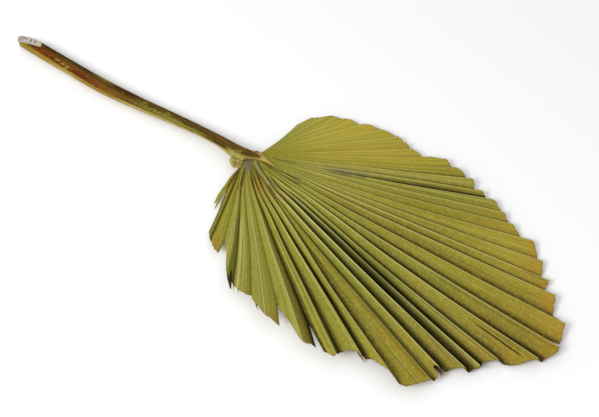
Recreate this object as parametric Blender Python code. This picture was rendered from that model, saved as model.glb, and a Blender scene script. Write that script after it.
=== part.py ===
# Dried palm spear: one fan leaf cut to a spear outline, lying on a flat surface.
# Lengths are millimetres until the last step of each mesh, which writes metres.
# +X runs along the leaf from the cut end of the stem to the tip, +Y is its left side, +Z is up.
# Nothing is drawn at random: every pleat, notch and tear has its own typed size.

import math

import bpy
import numpy as np

# Place of the leaf on its surface: where the pleats gather, measured from the frame's origin.
GATHER_X = -5.37
GATHER_Y = 9.32

# Stem
STEM_LENGTH = 277.0
STEM_WIDTH = 9.6
STEM_HEIGHT = 8.8
STEM_CHANNEL = 0.9
CUT_SLANT = 34.0
CUT_RINGS = 6

# Blade
SHEET = 0.66
BASE_LIFT = 8.5
BASE_REACH = 55.0
NEAR_RISE = 8.0
FAR_RISE = 5.0
TIP_RISE = 2.5
FLOOR_WIDTH = 0.8
STATIONS = 12

# One row a pleat, from the near side round to the far side: the angle of its first valley,
# then its length at that valley, at its ridge and at its second valley.
PLEATS = (
    (-95.8, 48, 50, 51), (-83.4, 75, 79, 82), (-79.3, 82, 89, 91), (-71.0, 77, 108, 120),
    (-62.0, 119, 126, 128), (-54.8, 131, 147, 157), (-46.2, 140, 174, 180), (-38.8, 182, 194, 190),
    (-34.5, 188, 192, 199), (-30.0, 200, 212, 229), (-26.7, 230, 237, 238), (-21.0, 238, 237, 231),
    (-18.3, 234, 245, 247), (-14.8, 248, 252, 251), (-12.0, 251, 257, 260), (-9.2, 261, 276, 282),
    (-4.5, 282, 286, 283), (-0.9, 283, 280, 268), (3.3, 268, 264, 255), (7.3, 255, 253, 250),
    (9.3, 249, 245, 242), (13.0, 241, 237, 229), (16.9, 225, 216, 214), (19.5, 214, 208, 206),
    (22.0, 206, 200, 194), (25.3, 192, 188, 185), (27.4, 184, 181, 176), (31.2, 177, 173, 165),
    (34.7, 163, 160, 152), (39.4, 147, 140, 133), (43.5, 133, 131, 129), (46.5, 129, 127, 124),
    (50.3, 124, 119, 114), (56.0, 114, 109, 101), (62.8, 100, 97, 91), (71.2, 91, 87, 79),
    (79.8, 79, 73, 59),
)
LAST_VALLEY = 88.5

# Splits run in from the edge along a valley: valley number, radius of the split's foot,
# and how far the pleats before and after it stand off from the valley's line at the edge.
SPLITS = ((1, 38, 7.0, 0.0), (3, 76, 2.0, 1.2), (6, 134, 2.4, 0.6), (7, 157, 1.8, 2.6), (17, 272, 1.0, 1.2))

# How the pleats stand, round the fan: angle, depth at full size, place of the ridge in its pleat.
RELIEF = (
    (-91.0, 0.8, 0.16), (-84.0, 2.2, 0.50), (-71.0, 3.4, 0.50), (-55.0, 3.8, 0.50),
    (-40.0, 4.6, 0.55), (-31.0, 6.0, 0.62), (-25.0, 5.0, 0.60), (-19.0, 6.8, 0.68),
    (-12.0, 7.2, 0.70), (-4.0, 6.6, 0.72), (3.0, 5.2, 0.74), (12.0, 4.2, 0.74),
    (27.0, 4.0, 0.72), (37.0, 2.8, 0.68), (48.0, 1.9, 0.60), (62.0, 1.6, 0.55),
    (88.0, 1.3, 0.50),
)

# Where the fold lines start, round the hastula: angle, along the leaf, across it, and how far
# the line bows aside before it runs straight.
GATHER = (
    (-95.8, -8.9, -8.3, -1.8), (-83.4, -8.6, -7.4, -1.8), (-79.3, -8.3, -6.6, -0.6),
    (-71.0, -7.9, -5.9, -0.6), (-62.0, -7.3, -5.2, -0.8), (-54.8, -6.7, -4.5, -1.2),
    (-46.2, -5.9, -3.8, -1.8), (-38.8, -4.9, -2.8, -2.6), (-34.5, -3.8, -1.9, -3.0),
    (-30.0, -2.7, -1.0, -3.2), (-26.7, -1.7, -0.1, -3.2), (-21.0, -0.6, 0.8, -3.2),
    (-18.3, 0.5, 1.6, -3.2), (-14.8, 1.6, 2.3, -3.0), (-12.0, 2.7, 2.9, -2.6),
    (-9.2, 3.9, 3.5, -2.0), (-4.5, 5.3, 4.2, -1.3), (-0.9, 6.9, 4.8, -0.8),
    (3.3, 9.7, 5.4, -0.2), (7.3, 13.0, 6.0, 0.0), (9.3, 14.5, 6.7, 0.0), (13.0, 13.5, 7.5, 0.0),
    (16.9, 12.0, 8.1, 0.0), (22.0, 9.0, 8.9, 0.0), (27.4, 5.5, 9.7, 0.0), (34.7, 2.0, 10.5, 0.0),
    (46.5, -2.0, 11.5, -0.4), (62.8, -5.0, 12.1, -1.0), (88.5, -8.0, 12.3, -2.2),
)
BOW_REACH = 26.0


def along(table, angle, column):
    """Value of one column of a table whose first column is an angle, read between its rows."""
    rows = np.array(table, float)
    return float(np.interp(angle, rows[:, 0], rows[:, column]))


def lift(x, y):
    """Height of the valley floors: raised at the hastula, at both sides and a little at the tip."""
    reach = math.hypot(x, y)
    raised = BASE_LIFT * math.exp(-((reach / BASE_REACH) ** 2))
    side = max(0.0, (abs(y) - 40.0) / 60.0)
    raised += (FAR_RISE if y > 0 else NEAR_RISE) * side ** 1.6
    raised += TIP_RISE * max(0.0, (x - 190.0) / 95.0) ** 2
    return raised


def depth(reach, angle):
    """Height of a ridge above its valleys: it grows outwards and holds its size past mid length."""
    return along(RELIEF, angle, 1) * (1.0 - math.exp(-((reach / 85.0) ** 1.35)))


def solid(name, vertices, faces, colour, roughness):
    """Mesh object from millimetre points and faces, with its own plain material."""
    mesh = bpy.data.meshes.new(name)
    placed = [((x + GATHER_X) * 0.001, (y + GATHER_Y) * 0.001, z * 0.001) for x, y, z in vertices]
    mesh.from_pydata(placed, [], faces)
    mesh.update()
    thing = bpy.data.objects.new(name, mesh)
    bpy.context.scene.collection.objects.link(thing)
    material = bpy.data.materials.new(name)
    material.use_nodes = True
    shader = material.node_tree.nodes["Principled BSDF"]
    shader.inputs["Base Color"].default_value = (colour[0], colour[1], colour[2], 1.0)
    shader.inputs["Roughness"].default_value = roughness
    mesh.materials.append(material)
    return thing


for old in list(bpy.data.objects):
    bpy.data.objects.remove(old, do_unlink=True)


# Blade. Each pleat is a strip of columns that run out from the hastula: the floor's edge at its
# first valley, its ridge, and the floor's edge at its second valley.

def column(angle, length, offset, stands, foot, foot_gap):
    """Points of one fold line from the hastula to the edge, with the sideways shift of its floor.

    stands is 1 on a ridge and 0 on a valley. Past a split's foot the line bends aside by foot_gap.
    """
    turn = math.radians(angle)
    start = (along(GATHER, angle, 1), along(GATHER, angle, 2))
    end = (length * math.cos(turn), length * math.sin(turn))
    run = math.hypot(end[0] - start[0], end[1] - start[1])
    side = (-(end[1] - start[1]) / run, (end[0] - start[0]) / run)
    points = []
    for station in range(STATIONS + 1):
        part = (station / STATIONS) ** 1.25
        if foot:
            edge = (foot - 10.0) / (run - 0.0)
            knee = 0.75
            step = station / STATIONS
            if step <= knee:
                part = edge * (step / knee) ** 1.25
            else:
                part = edge + (1.0 - edge) * (step - knee) / (1.0 - knee)
        x = start[0] + (end[0] - start[0]) * part
        y = start[1] + (end[1] - start[1]) * part
        reach = math.hypot(x, y)
        bow = part * run / BOW_REACH
        shift = offset * max(0.15, min(1.0, part * run / 60.0))
        shift += along(GATHER, angle, 3) * bow * math.exp(1.0 - bow)
        if foot and station / STATIONS > 0.75:
            shift += foot_gap * (station / STATIONS - 0.75) / 0.25
        x += side[0] * shift
        y += side[1] * shift
        high = lift(x, y) + stands * depth(reach, angle)
        points.append((x, y, high, side))
    return points


def sheet_offset(angle, pitch_angle, reach):
    """Sideways and downward shift that gives both facets of a pleat the sheet's thickness."""
    pitch = max(reach, 6.0) * math.radians(pitch_angle)
    ridge_at = along(RELIEF, angle, 2)
    rise = depth(reach, angle)
    first = rise / (pitch * ridge_at)
    second = -rise / (pitch * (1.0 - ridge_at))
    first_long = math.sqrt(1.0 + first * first)
    second_long = math.sqrt(1.0 + second * second)
    if first - second < 0.05:
        return 0.0, SHEET
    sideways = SHEET * (first_long - second_long) / (first - second)
    down = SHEET * first_long - first * sideways
    return sideways, down


valleys = [row[0] for row in PLEATS] + [LAST_VALLEY]
splits = {number: (foot, before, after) for number, foot, before, after in SPLITS}
strips = []
for number, (angle, first_length, ridge_length, last_length) in enumerate(PLEATS):
    next_angle = valleys[number + 1]
    middle = 0.5 * (angle + next_angle)
    ridge_angle = angle + (next_angle - angle) * along(RELIEF, middle, 2)
    foot_in = splits.get(number, (0, 0.0, 0.0))
    foot_out = splits.get(number + 1, (0, 0.0, 0.0))
    floor_in = 0.5 * FLOOR_WIDTH if number > 0 else 0.0
    floor_out = 0.5 * FLOOR_WIDTH if number < len(PLEATS) - 1 else 0.0
    strips.append((
        column(angle, first_length, floor_in, 0.0, foot_in[0], foot_in[2]),
        column(ridge_angle, ridge_length, 0.0, 1.0, 0, 0.0),
        column(next_angle, last_length, -floor_out, 0.0, foot_out[0], -foot_out[1]),
        next_angle - angle,
        middle,
    ))

top = []
bottom = []
index = []
for strip in strips:
    rows = []
    for points in strip[:3]:
        line = []
        for x, y, high, side in points:
            reach = math.hypot(x, y)
            sideways, down = sheet_offset(strip[4], strip[3], reach)
            fade = min(1.0, reach / 60.0)
            line.append(len(top))
            top.append((x, y, high + down))
            under = max(0.0, high)
            bottom.append((x + side[0] * sideways * fade, y + side[1] * sideways * fade, under))
        rows.append(line)
    index.append(rows)

# Floors of unsplit valleys join two strips. Split ones join only as far as the split's foot.
count = len(top)
cells = []
for number, rows in enumerate(index):
    for left, right in ((rows[0], rows[1]), (rows[1], rows[2])):
        for station in range(STATIONS):
            cells.append((left[station], left[station + 1], right[station + 1], right[station]))
    if number + 1 < len(index):
        left = rows[2]
        right = index[number + 1][0]
        last = int(STATIONS * 0.75) if number + 1 in splits else STATIONS
        for station in range(last):
            cells.append((left[station], left[station + 1], right[station + 1], right[station]))

faces = []
edges = {}
for a, b, c, d in cells:
    for triangle in ((a, b, c), (a, c, d)):
        faces.append(triangle)
        faces.append(tuple(count + corner for corner in reversed(triangle)))
        for first, second in zip(triangle, triangle[1:] + triangle[:1]):
            edges[(first, second)] = True
for first, second in list(edges):
    if (second, first) not in edges:
        faces.append((second, first, count + first))
        faces.append((second, count + first, count + second))

blade = solid("blade", top + bottom, faces, (0.33, 0.31, 0.08), 0.55)


# Stem: a sweep of a channelled section, flat where it lies, cut on the slant at its far end.
STEM_PATH = (
    (-277.0, -2.0, 5.2), (-254.0, -2.4, 5.2), (-210.0, -3.1, 5.2), (-166.0, -3.7, 5.3),
    (-126.0, -1.6, 5.6), (-88.0, 1.7, 6.3), (-50.0, 3.3, 8.0), (-37.0, 2.9, 8.8), (-30.0, 2.2, 9.1),
    (-22.0, 1.4, 9.4), (-14.0, 1.8, 9.9), (-10.2, 2.6, 10.3), (-6.0, 4.0, 11.5), (4.0, 5.4, 14.2),
)
# Width and height of the section against the size above, at distances along the leaf.
STEM_SIZE = (
    (-277.0, 1.28, 1.28), (-240.0, 1.36, 1.36), (-165.0, 1.36, 1.36), (-140.0, 1.27, 1.27),
    (-111.0, 1.14, 1.14), (-80.0, 1.0, 1.0), (-59.0, 0.93, 0.93), (-40.0, 0.98, 0.93),
    (-30.0, 1.15, 0.95), (-20.0, 1.34, 1.0), (-14.0, 1.30, 1.0), (-10.2, 1.20, 0.95),
    (-7.0, 0.8, 0.8), (0.0, 0.4, 0.4), (4.0, 0.12, 0.12),
)
STEM_END = -10.2
TONGUE_UNDER = 12.1
STEM_SIDES = 16
STEM_RINGS = [-STEM_LENGTH + 8.0 * step for step in range(31)]
STEM_RINGS += [-30.0, -25.0, -20.0, -15.0, -12.0, STEM_END - 0.2, STEM_END, -7.0, -4.0, -1.0, 2.0, 4.0]


def stem_path(x, axis):
    """Centre of the stem at a distance along the leaf, on a smooth curve through typed points."""
    rows = np.array(STEM_PATH, float)
    at = np.clip(x, rows[0, 0], rows[-1, 0])
    near = int(np.clip(np.searchsorted(rows[:, 0], at) - 1, 0, len(rows) - 2))
    step = rows[near + 1, 0] - rows[near, 0]
    part = (at - rows[near, 0]) / step
    slopes = np.gradient(rows[:, axis], rows[:, 0])
    a = rows[near, axis]
    b = rows[near + 1, axis]
    ease = part * part * (3.0 - 2.0 * part)
    swing = part * (1.0 - part) ** 2 * slopes[near] - part * part * (1.0 - part) * slopes[near + 1]
    return float(a + (b - a) * ease + swing * step)


def section(turn):
    """Stem section on a unit circle's angle: rounded below, with a shallow channel on top."""
    across = 0.5 * STEM_WIDTH * math.copysign(abs(math.cos(turn)) ** 0.85, math.cos(turn))
    up = 0.5 * STEM_HEIGHT * math.sin(turn)
    if up > 0:
        up = 0.5 * STEM_HEIGHT * math.sin(turn) ** 0.8
        up -= STEM_CHANNEL * math.exp(-((across / (0.22 * STEM_WIDTH)) ** 2))
    return across, up


def loft(rings):
    """Faces of a closed body through rings of equal point count, with a fan on each end.

    The rings run along +X and each ring runs anticlockwise as seen from +X.
    """
    sides = len(rings[0])
    points = [point for ring in rings for point in ring]
    faces = []
    for ring in range(len(rings) - 1):
        for side in range(sides):
            a = ring * sides + side
            b = ring * sides + (side + 1) % sides
            faces.append((a, b + sides, a + sides))
            faces.append((a, b, b + sides))
    last = (len(rings) - 1) * sides
    points.append(tuple(np.mean(np.array(rings[0]), axis=0)))
    points.append(tuple(np.mean(np.array(rings[-1]), axis=0)))
    for side in range(sides):
        after = (side + 1) % sides
        faces.append((len(points) - 2, after, side))
        faces.append((len(points) - 1, last + side, last + after))
    return points, faces


rings = []
sizes = np.array(STEM_SIZE, float)
for number, x in enumerate(STEM_RINGS):
    wide = float(np.interp(x, sizes[:, 0], sizes[:, 1]))
    high = float(np.interp(x, sizes[:, 0], sizes[:, 2]))
    ring = []
    for side in range(STEM_SIDES):
        turn = 2.0 * math.pi * side / STEM_SIDES
        across, up = section(turn)
        near_cut = max(0.0, 1.0 - number / CUT_RINGS)
        y = stem_path(x, 1) + across * wide
        z = max(0.0, stem_path(x, 2) + up * high)
        slant = CUT_SLANT * near_cut * (0.8 * z / 11.0 + 0.1 - 0.2 * across / STEM_WIDTH)
        if x >= STEM_END:
            z = max(z, TONGUE_UNDER)
        ring.append((x + slant, y, z))
    rings.append(ring)
points, faces = loft(rings)
stem = solid("stem", points, faces, (0.13, 0.10, 0.03), 0.5)


# Hastula: the pale crest where the pleats meet the stem, with the short rib that runs on from it
# under the blade and the swollen knob on its near side.
# One row a section: along the leaf, right side, left side, underside, top.
HASTULA = (
    (-13.5, -9.5, -6.0, 5.5, 10.4), (-11.6, -9.0, -5.3, 4.6, 11.0), (-10.0, -8.2, -5.0, 4.2, 11.4),
    (-9.8, -7.6, 9.5, 4.0, 11.7), (-8.7, -6.0, 10.8, 3.6, 11.7), (-7.3, -4.7, 11.3, 3.4, 11.7),
    (-6.2, -3.6, 11.4, 3.2, 11.7), (-3.0, -0.7, 11.2, 2.8, 11.7), (0.0, 1.7, 10.4, 2.4, 11.6),
    (4.0, 4.0, 9.4, 2.1, 11.0), (8.0, 5.5, 8.5, 1.9, 10.4), (11.0, 6.1, 7.8, 1.8, 9.8),
    (12.6, 6.4, 7.3, 1.7, 9.2), (13.4, 6.3, 7.4, 1.7, 7.2), (16.0, 5.0, 8.4, 1.6, 7.2),
    (30.0, 4.4, 7.6, 1.4, 5.8), (42.0, 4.0, 6.6, 1.1, 4.2), (62.0, 4.0, 5.4, 0.6, 1.7),
)
KNOB = (-14.8, -9.8, 7.8)
KNOB_SIZE = (4.6, 4.2, 3.2)

rings = []
for x, right, left, under, over in HASTULA:
    ring = []
    for side in range(16):
        turn = 2.0 * math.pi * side / 16
        across = math.copysign(abs(math.cos(turn)) ** 0.7, math.cos(turn))
        up = math.copysign(abs(math.sin(turn)) ** 0.7, math.sin(turn))
        ring.append((x, 0.5 * (right + left) + 0.5 * (left - right) * across,
                     0.5 * (under + over) + 0.5 * (over - under) * up))
    rings.append(ring)
points, faces = loft(rings)
hastula = solid("hastula", points, faces, (0.55, 0.42, 0.17), 0.6)

rings = []
for step in range(9):
    turn = math.pi * (step + 0.5) / 9
    ring = []
    for side in range(12):
        swing = 2.0 * math.pi * side / 12
        lump = 1.0 + 0.12 * math.sin(3.0 * swing + step)
        ring.append((KNOB[0] - KNOB_SIZE[0] * math.cos(turn),
                     KNOB[1] + KNOB_SIZE[1] * lump * math.sin(turn) * math.cos(swing),
                     KNOB[2] + KNOB_SIZE[2] * lump * math.sin(turn) * math.sin(swing)))
    rings.append(ring)
points, faces = loft(rings)
knob = solid("knob", points, faces, (0.55, 0.42, 0.17), 0.6)
join = hastula.modifiers.new("join", "BOOLEAN")
join.operation = "UNION"
join.solver = "EXACT"
join.object = knob
knob.hide_render = True
knob.display_type = "WIRE"
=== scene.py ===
import math

import bpy
import numpy as np
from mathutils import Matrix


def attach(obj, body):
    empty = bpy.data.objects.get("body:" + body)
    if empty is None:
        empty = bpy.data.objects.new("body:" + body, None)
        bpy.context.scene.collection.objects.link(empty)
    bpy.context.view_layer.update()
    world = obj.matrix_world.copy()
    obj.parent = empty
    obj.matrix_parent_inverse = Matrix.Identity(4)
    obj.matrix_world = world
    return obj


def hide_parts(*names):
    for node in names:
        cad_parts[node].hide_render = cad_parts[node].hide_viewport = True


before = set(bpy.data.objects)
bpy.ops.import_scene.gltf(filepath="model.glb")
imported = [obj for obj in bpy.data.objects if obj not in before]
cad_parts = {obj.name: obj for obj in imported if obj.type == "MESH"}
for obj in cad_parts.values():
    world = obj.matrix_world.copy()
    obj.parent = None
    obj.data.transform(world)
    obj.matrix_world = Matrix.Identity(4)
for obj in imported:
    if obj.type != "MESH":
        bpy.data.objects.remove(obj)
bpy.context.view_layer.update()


# Camera: it looks down on the leaf from its near side, some eighty centimetres away, so that the
# stem comes in from the upper left and the tip points to the lower right.
camera_data = bpy.data.cameras.new("camera")
camera_data.sensor_width = 36.0
camera_data.lens = 60.1
camera = bpy.data.objects.new("camera", camera_data)
bpy.context.scene.collection.objects.link(camera)
camera.location = (0.32039, -0.39520, 0.65921)
looked_at = np.array([0.05216, -0.00898, 0.012])
aim = looked_at - np.array(camera.location)
camera.rotation_euler = (
    math.acos(-aim[2] / np.linalg.norm(aim)), 0.0, math.atan2(aim[1], aim[0]) - math.pi / 2)
bpy.context.scene.camera = camera


# Floor and light: a plain white table, a broad soft lamp on the near left of the leaf so that
# each pleat throws a short shadow over the valley behind it, and a pale sky all round.

def rgb(red, green, blue):
    """Linear colour from a screen colour: c/12.92 below 0.04045, else ((c + 0.055)/1.055)^2.4."""
    screen = np.array([red, green, blue]) / 255.0
    linear = np.where(screen < 0.04045, screen / 12.92, ((screen + 0.055) / 1.055) ** 2.4)
    return (float(linear[0]), float(linear[1]), float(linear[2]), 1.0)


def new_material(name, roughness, specular):
    """Material with one Principled shader. Returns the material, its node tree and the shader."""
    material = bpy.data.materials.new(name)
    material.use_nodes = True
    tree = material.node_tree
    shader = tree.nodes["Principled BSDF"]
    shader.inputs["Roughness"].default_value = roughness
    shader.inputs["Specular IOR Level"].default_value = specular
    return material, tree, shader


# Shapes are worked out in millimetres from the leaf's crest, which lies here in the row frame.
CREST_AT = np.array([-5.37, 9.32, 0.0])
MILLIMETRE = 0.001


def new_object(name, points, faces, material):
    """Mesh object from points in millimetres from the crest, moved to the row frame in metres."""
    mesh = bpy.data.meshes.new(name)
    placed = (np.asarray(points, float) + CREST_AT) * MILLIMETRE
    mesh.from_pydata(placed.tolist(), [], [tuple(face) for face in faces])
    mesh.polygons.foreach_set("use_smooth", np.ones(len(mesh.polygons), bool))
    mesh.materials.append(material)
    mesh.update()
    thing = bpy.data.objects.new(name, mesh)
    bpy.context.scene.collection.objects.link(thing)
    return thing


floor_material, floor_tree, floor_shader = new_material("floor", 0.9, 0.2)
floor_shader.inputs["Base Color"].default_value = (0.93, 0.93, 0.93, 1.0)
FLOOR_HALF = 4000.0
FLOOR_LEVEL = -0.05
floor_points = [(side_x * FLOOR_HALF, side_y * FLOOR_HALF, FLOOR_LEVEL)
                for side_x, side_y in ((-1, -1), (1, -1), (1, 1), (-1, 1))]
floor = new_object("floor", floor_points, [(0, 1, 2, 3)], floor_material)

world = bpy.data.worlds.new("sky")
world.use_nodes = True
world.node_tree.nodes["Background"].inputs["Color"].default_value = (1.0, 1.0, 1.0, 1.0)
world.node_tree.nodes["Background"].inputs["Strength"].default_value = 0.74
bpy.context.scene.world = world
bpy.context.scene.view_settings.view_transform = "Standard"


# The leaf's middle along the row frame, in metres.
LEAF_MIDDLE = 0.08


def lamp(name, azimuth, elevation, distance, size, power):
    """Square area lamp aimed at the leaf's middle, from degrees round it and above the floor."""
    data = bpy.data.lights.new(name, "AREA")
    data.size = size
    data.energy = power
    thing = bpy.data.objects.new(name, data)
    turn = math.radians(azimuth)
    rise = math.radians(elevation)
    thing.location = (LEAF_MIDDLE + distance * math.cos(turn) * math.cos(rise),
                      distance * math.sin(turn) * math.cos(rise), distance * math.sin(rise))
    thing.rotation_euler = (math.pi / 2 - rise, 0.0, turn + math.pi / 2)
    bpy.context.scene.collection.objects.link(thing)


lamp("key", azimuth=-108.0, elevation=42.0, distance=1.6, size=0.6, power=15.0)


# Blade: the dried fan itself, one thin sheet of palm leaf that grew on the stem in thirty-seven
# pleats. Each rises to a pale rib and drops steeply into the next valley. Their ends were cut off
# to give the leaf its spear outline.

# Each pleat: the angle of its first valley in degrees from the leaf's axis; its length from the
# crest at that valley, at the corner of its end and at the next valley; the corner's place across
# it, from 0 to 1; then the rib's height and place across. Lengths are in millimetres.
PLEATS = (
    (-100.0, 37, 35, 34, 0.50, 0.8, 0.50), (-83.4, 75, 79, 82, 0.50, 1.5, 0.50),
    (-79.3, 82, 89, 91, 0.50, 1.5, 0.50), (-71.0, 77, 108, 120, 0.56, 3.0, 0.56),
    (-61.6, 119, 126, 128, 0.50, 1.6, 0.50), (-54.8, 131, 147, 157, 0.47, 2.2, 0.47),
    (-46.2, 140, 174, 180, 0.52, 2.9, 0.54), (-38.8, 184, 192, 188, 0.55, 4.4, 0.70),
    (-34.5, 188, 192, 199, 0.60, 5.6, 0.82), (-30.0, 200, 203, 231, 0.40, 6.0, 0.82),
    (-26.9, 228, 232, 238, 0.12, 4.6, 0.88), (-21.0, 238, 237, 231, 0.36, 6.2, 0.76),
    (-18.3, 236, 241, 247, 0.65, 6.8, 0.86), (-15.0, 247, 251, 250, 0.70, 7.2, 0.84),
    (-12.9, 249, 253, 259, 0.60, 7.0, 0.82), (-9.5, 260, 265.5, 279, 0.14, 6.8, 0.88),
    (-5.3, 279.5, 285, 284, 0.66, 6.2, 0.78), (-1.3, 283, 279, 268, 0.77, 5.4, 0.77),
    (3.1, 268, 263, 256, 0.88, 5.0, 0.85), (6.9, 255, 255, 249, 0.84, 4.4, 0.82),
    (9.2, 249, 245, 242, 0.88, 4.2, 0.86), (12.8, 241, 235, 226, 0.83, 4.2, 0.87),
    (16.6, 225, 216, 213, 0.82, 4.2, 0.85), (19.3, 213, 208, 206, 0.80, 4.0, 0.86),
    (21.9, 206, 200, 193, 0.70, 4.0, 0.84), (25.1, 192, 189, 183, 0.70, 4.0, 0.80),
    (27.2, 183, 181, 175, 0.74, 3.8, 0.82), (31.0, 176, 172, 165, 0.56, 3.4, 0.84),
    (34.5, 165, 161, 141, 0.54, 2.8, 0.84), (39.3, 141, 136, 133, 0.65, 2.2, 0.84),
    (43.5, 133, 131, 129, 0.60, 1.9, 0.85), (46.5, 129, 127, 124, 0.60, 1.8, 0.85),
    (50.3, 124, 119, 114, 0.57, 1.7, 0.85), (56.0, 114, 109, 101, 0.56, 1.6, 0.86),
    (62.8, 100, 97, 91, 0.55, 1.5, 0.86), (71.2, 91, 87, 79, 0.52, 1.4, 0.86),
    (79.8, 79, 73, 59, 0.50, 1.3, 0.70)
)
LAST_VALLEY = 88.5
# Splits: valley number, then radius of the split's foot and how far the leaf stands off it before
# and after the valley.
SPLITS = {1: (33, 0.3, 0.0), 3: (76, 2.0, 1.2), 6: (134, 2.4, 0.6), 7: (157, 1.8, 2.6),
          17: (272, 1.4, 1.4)}
# Notches in a pleat's end: its place across, depth and half width.
NOTCHES = {6: ((0.30, 2.5, 0.06), (0.86, 2.0, 0.06)), 8: ((0.35, 1.5, 0.10),),
           9: ((0.74, 3.0, 0.08),), 11: ((0.58, 6.0, 0.14),), 14: ((0.30, 2.0, 0.10),),
           19: ((0.35, 1.5, 0.10),)}
# Fold line's angle, then where the line starts along and across the leaf.
GATHER = np.array((
    (-100.0, -8.9, -8.5), (-83.4, -8.6, -7.4), (-79.3, -8.3, -6.6), (-71.0, -7.9, -5.9),
    (-62.0, -7.3, -5.2), (-54.8, -6.7, -4.5), (-46.2, -5.9, -3.8), (-38.8, -4.9, -2.8),
    (-34.5, -3.8, -1.9), (-30.0, -2.7, -1.0), (-26.7, -1.7, -0.1), (-21.0, -0.6, 0.8),
    (-18.3, 0.5, 1.6), (-14.8, 1.6, 2.3), (-12.0, 2.7, 2.9), (-9.2, 3.9, 3.5), (-4.5, 5.3, 4.2),
    (-0.9, 7.0, 4.8), (3.3, 10.5, 6.4), (7.3, 13.6, 8.2), (9.3, 13.0, 9.2), (13.0, 11.0, 9.5),
    (16.9, 8.0, 9.6), (19.3, 4.0, 10.4), (22.0, 1.5, 10.9), (25.1, 0.0, 11.3), (27.4, -0.8, 11.6),
    (34.7, -1.4, 12.0), (46.5, -2.0, 12.2), (62.8, -2.6, 12.4), (88.5, -3.2, 12.5)))
# The turn of each valley: its angle at the edge, then at each of these distances from the crest.
TURN_RADII = (30.0, 50.0, 80.0, 130.0)
TURNS = np.array((
    (-100.0, -107.0, -100.0, -100.0, -100.0), (-83.4, -100.5, -88.8, -83.4, -83.4),
    (-79.3, -91.0, -84.0, -79.5, -79.0), (-71.0, -84.0, -76.0, -71.2, -71.0),
    (-61.6, -76.5, -67.8, -63.4, -61.3), (-54.8, -69.0, -61.3, -56.6, -54.9),
    (-46.2, -59.5, -52.4, -48.8, -46.5), (-38.8, -51.7, -45.0, -41.6, -39.4),
    (-34.5, -45.5, -39.1, -36.7, -35.0), (-30.0, -38.8, -33.9, -31.6, -30.3),
    (-26.9, -30.7, -27.8, -27.0, -27.5), (-21.0, -28.0, -25.2, -22.9, -21.6),
    (-18.3, -22.0, -19.2, -18.5, -18.3), (-15.0, -14.6, -13.8, -14.2, -14.9),
    (-12.9, -11.0, -9.5, -10.3, -12.1), (-9.5, -5.0, -5.1, -7.2, -9.0),
    (-5.3, 0.7, -0.3, -2.3, -4.8), (-1.3, 6.7, 3.5, 1.3, 0.0), (3.1, 13.4, 9.2, 6.6, 4.7),
    (6.9, 19.3, 14.1, 10.9, 8.7), (9.2, 23.0, 17.5, 14.2, 11.6), (12.8, 25.4, 19.9, 17.1, 14.5),
    (16.6, 28.8, 23.2, 20.4, 17.8), (19.3, 35.2, 29.0, 24.7, 21.3),
    (21.9, 38.5, 31.3, 27.7, 24.2), (25.1, 40.8, 33.4, 30.0, 26.8),
    (27.2, 44.0, 36.7, 33.6, 29.7), (31.0, 48.0, 40.7, 37.2, 32.7),
    (34.5, 52.5, 44.6, 40.4, 35.7), (39.3, 59.0, 50.2, 44.6, 39.8),
    (43.5, 62.8, 54.0, 48.6, 43.5), (46.5, 66.0, 57.2, 51.8, 46.5),
    (50.3, 69.2, 61.2, 55.4, 50.3), (56.0, 73.0, 65.8, 60.2, 56.0),
    (62.8, 77.2, 70.4, 65.2, 62.8), (71.2, 83.0, 78.6, 72.8, 71.2),
    (79.8, 87.2, 83.6, 79.8, 79.8), (88.5, 90.4, 88.9, 88.5, 88.5)))
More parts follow.
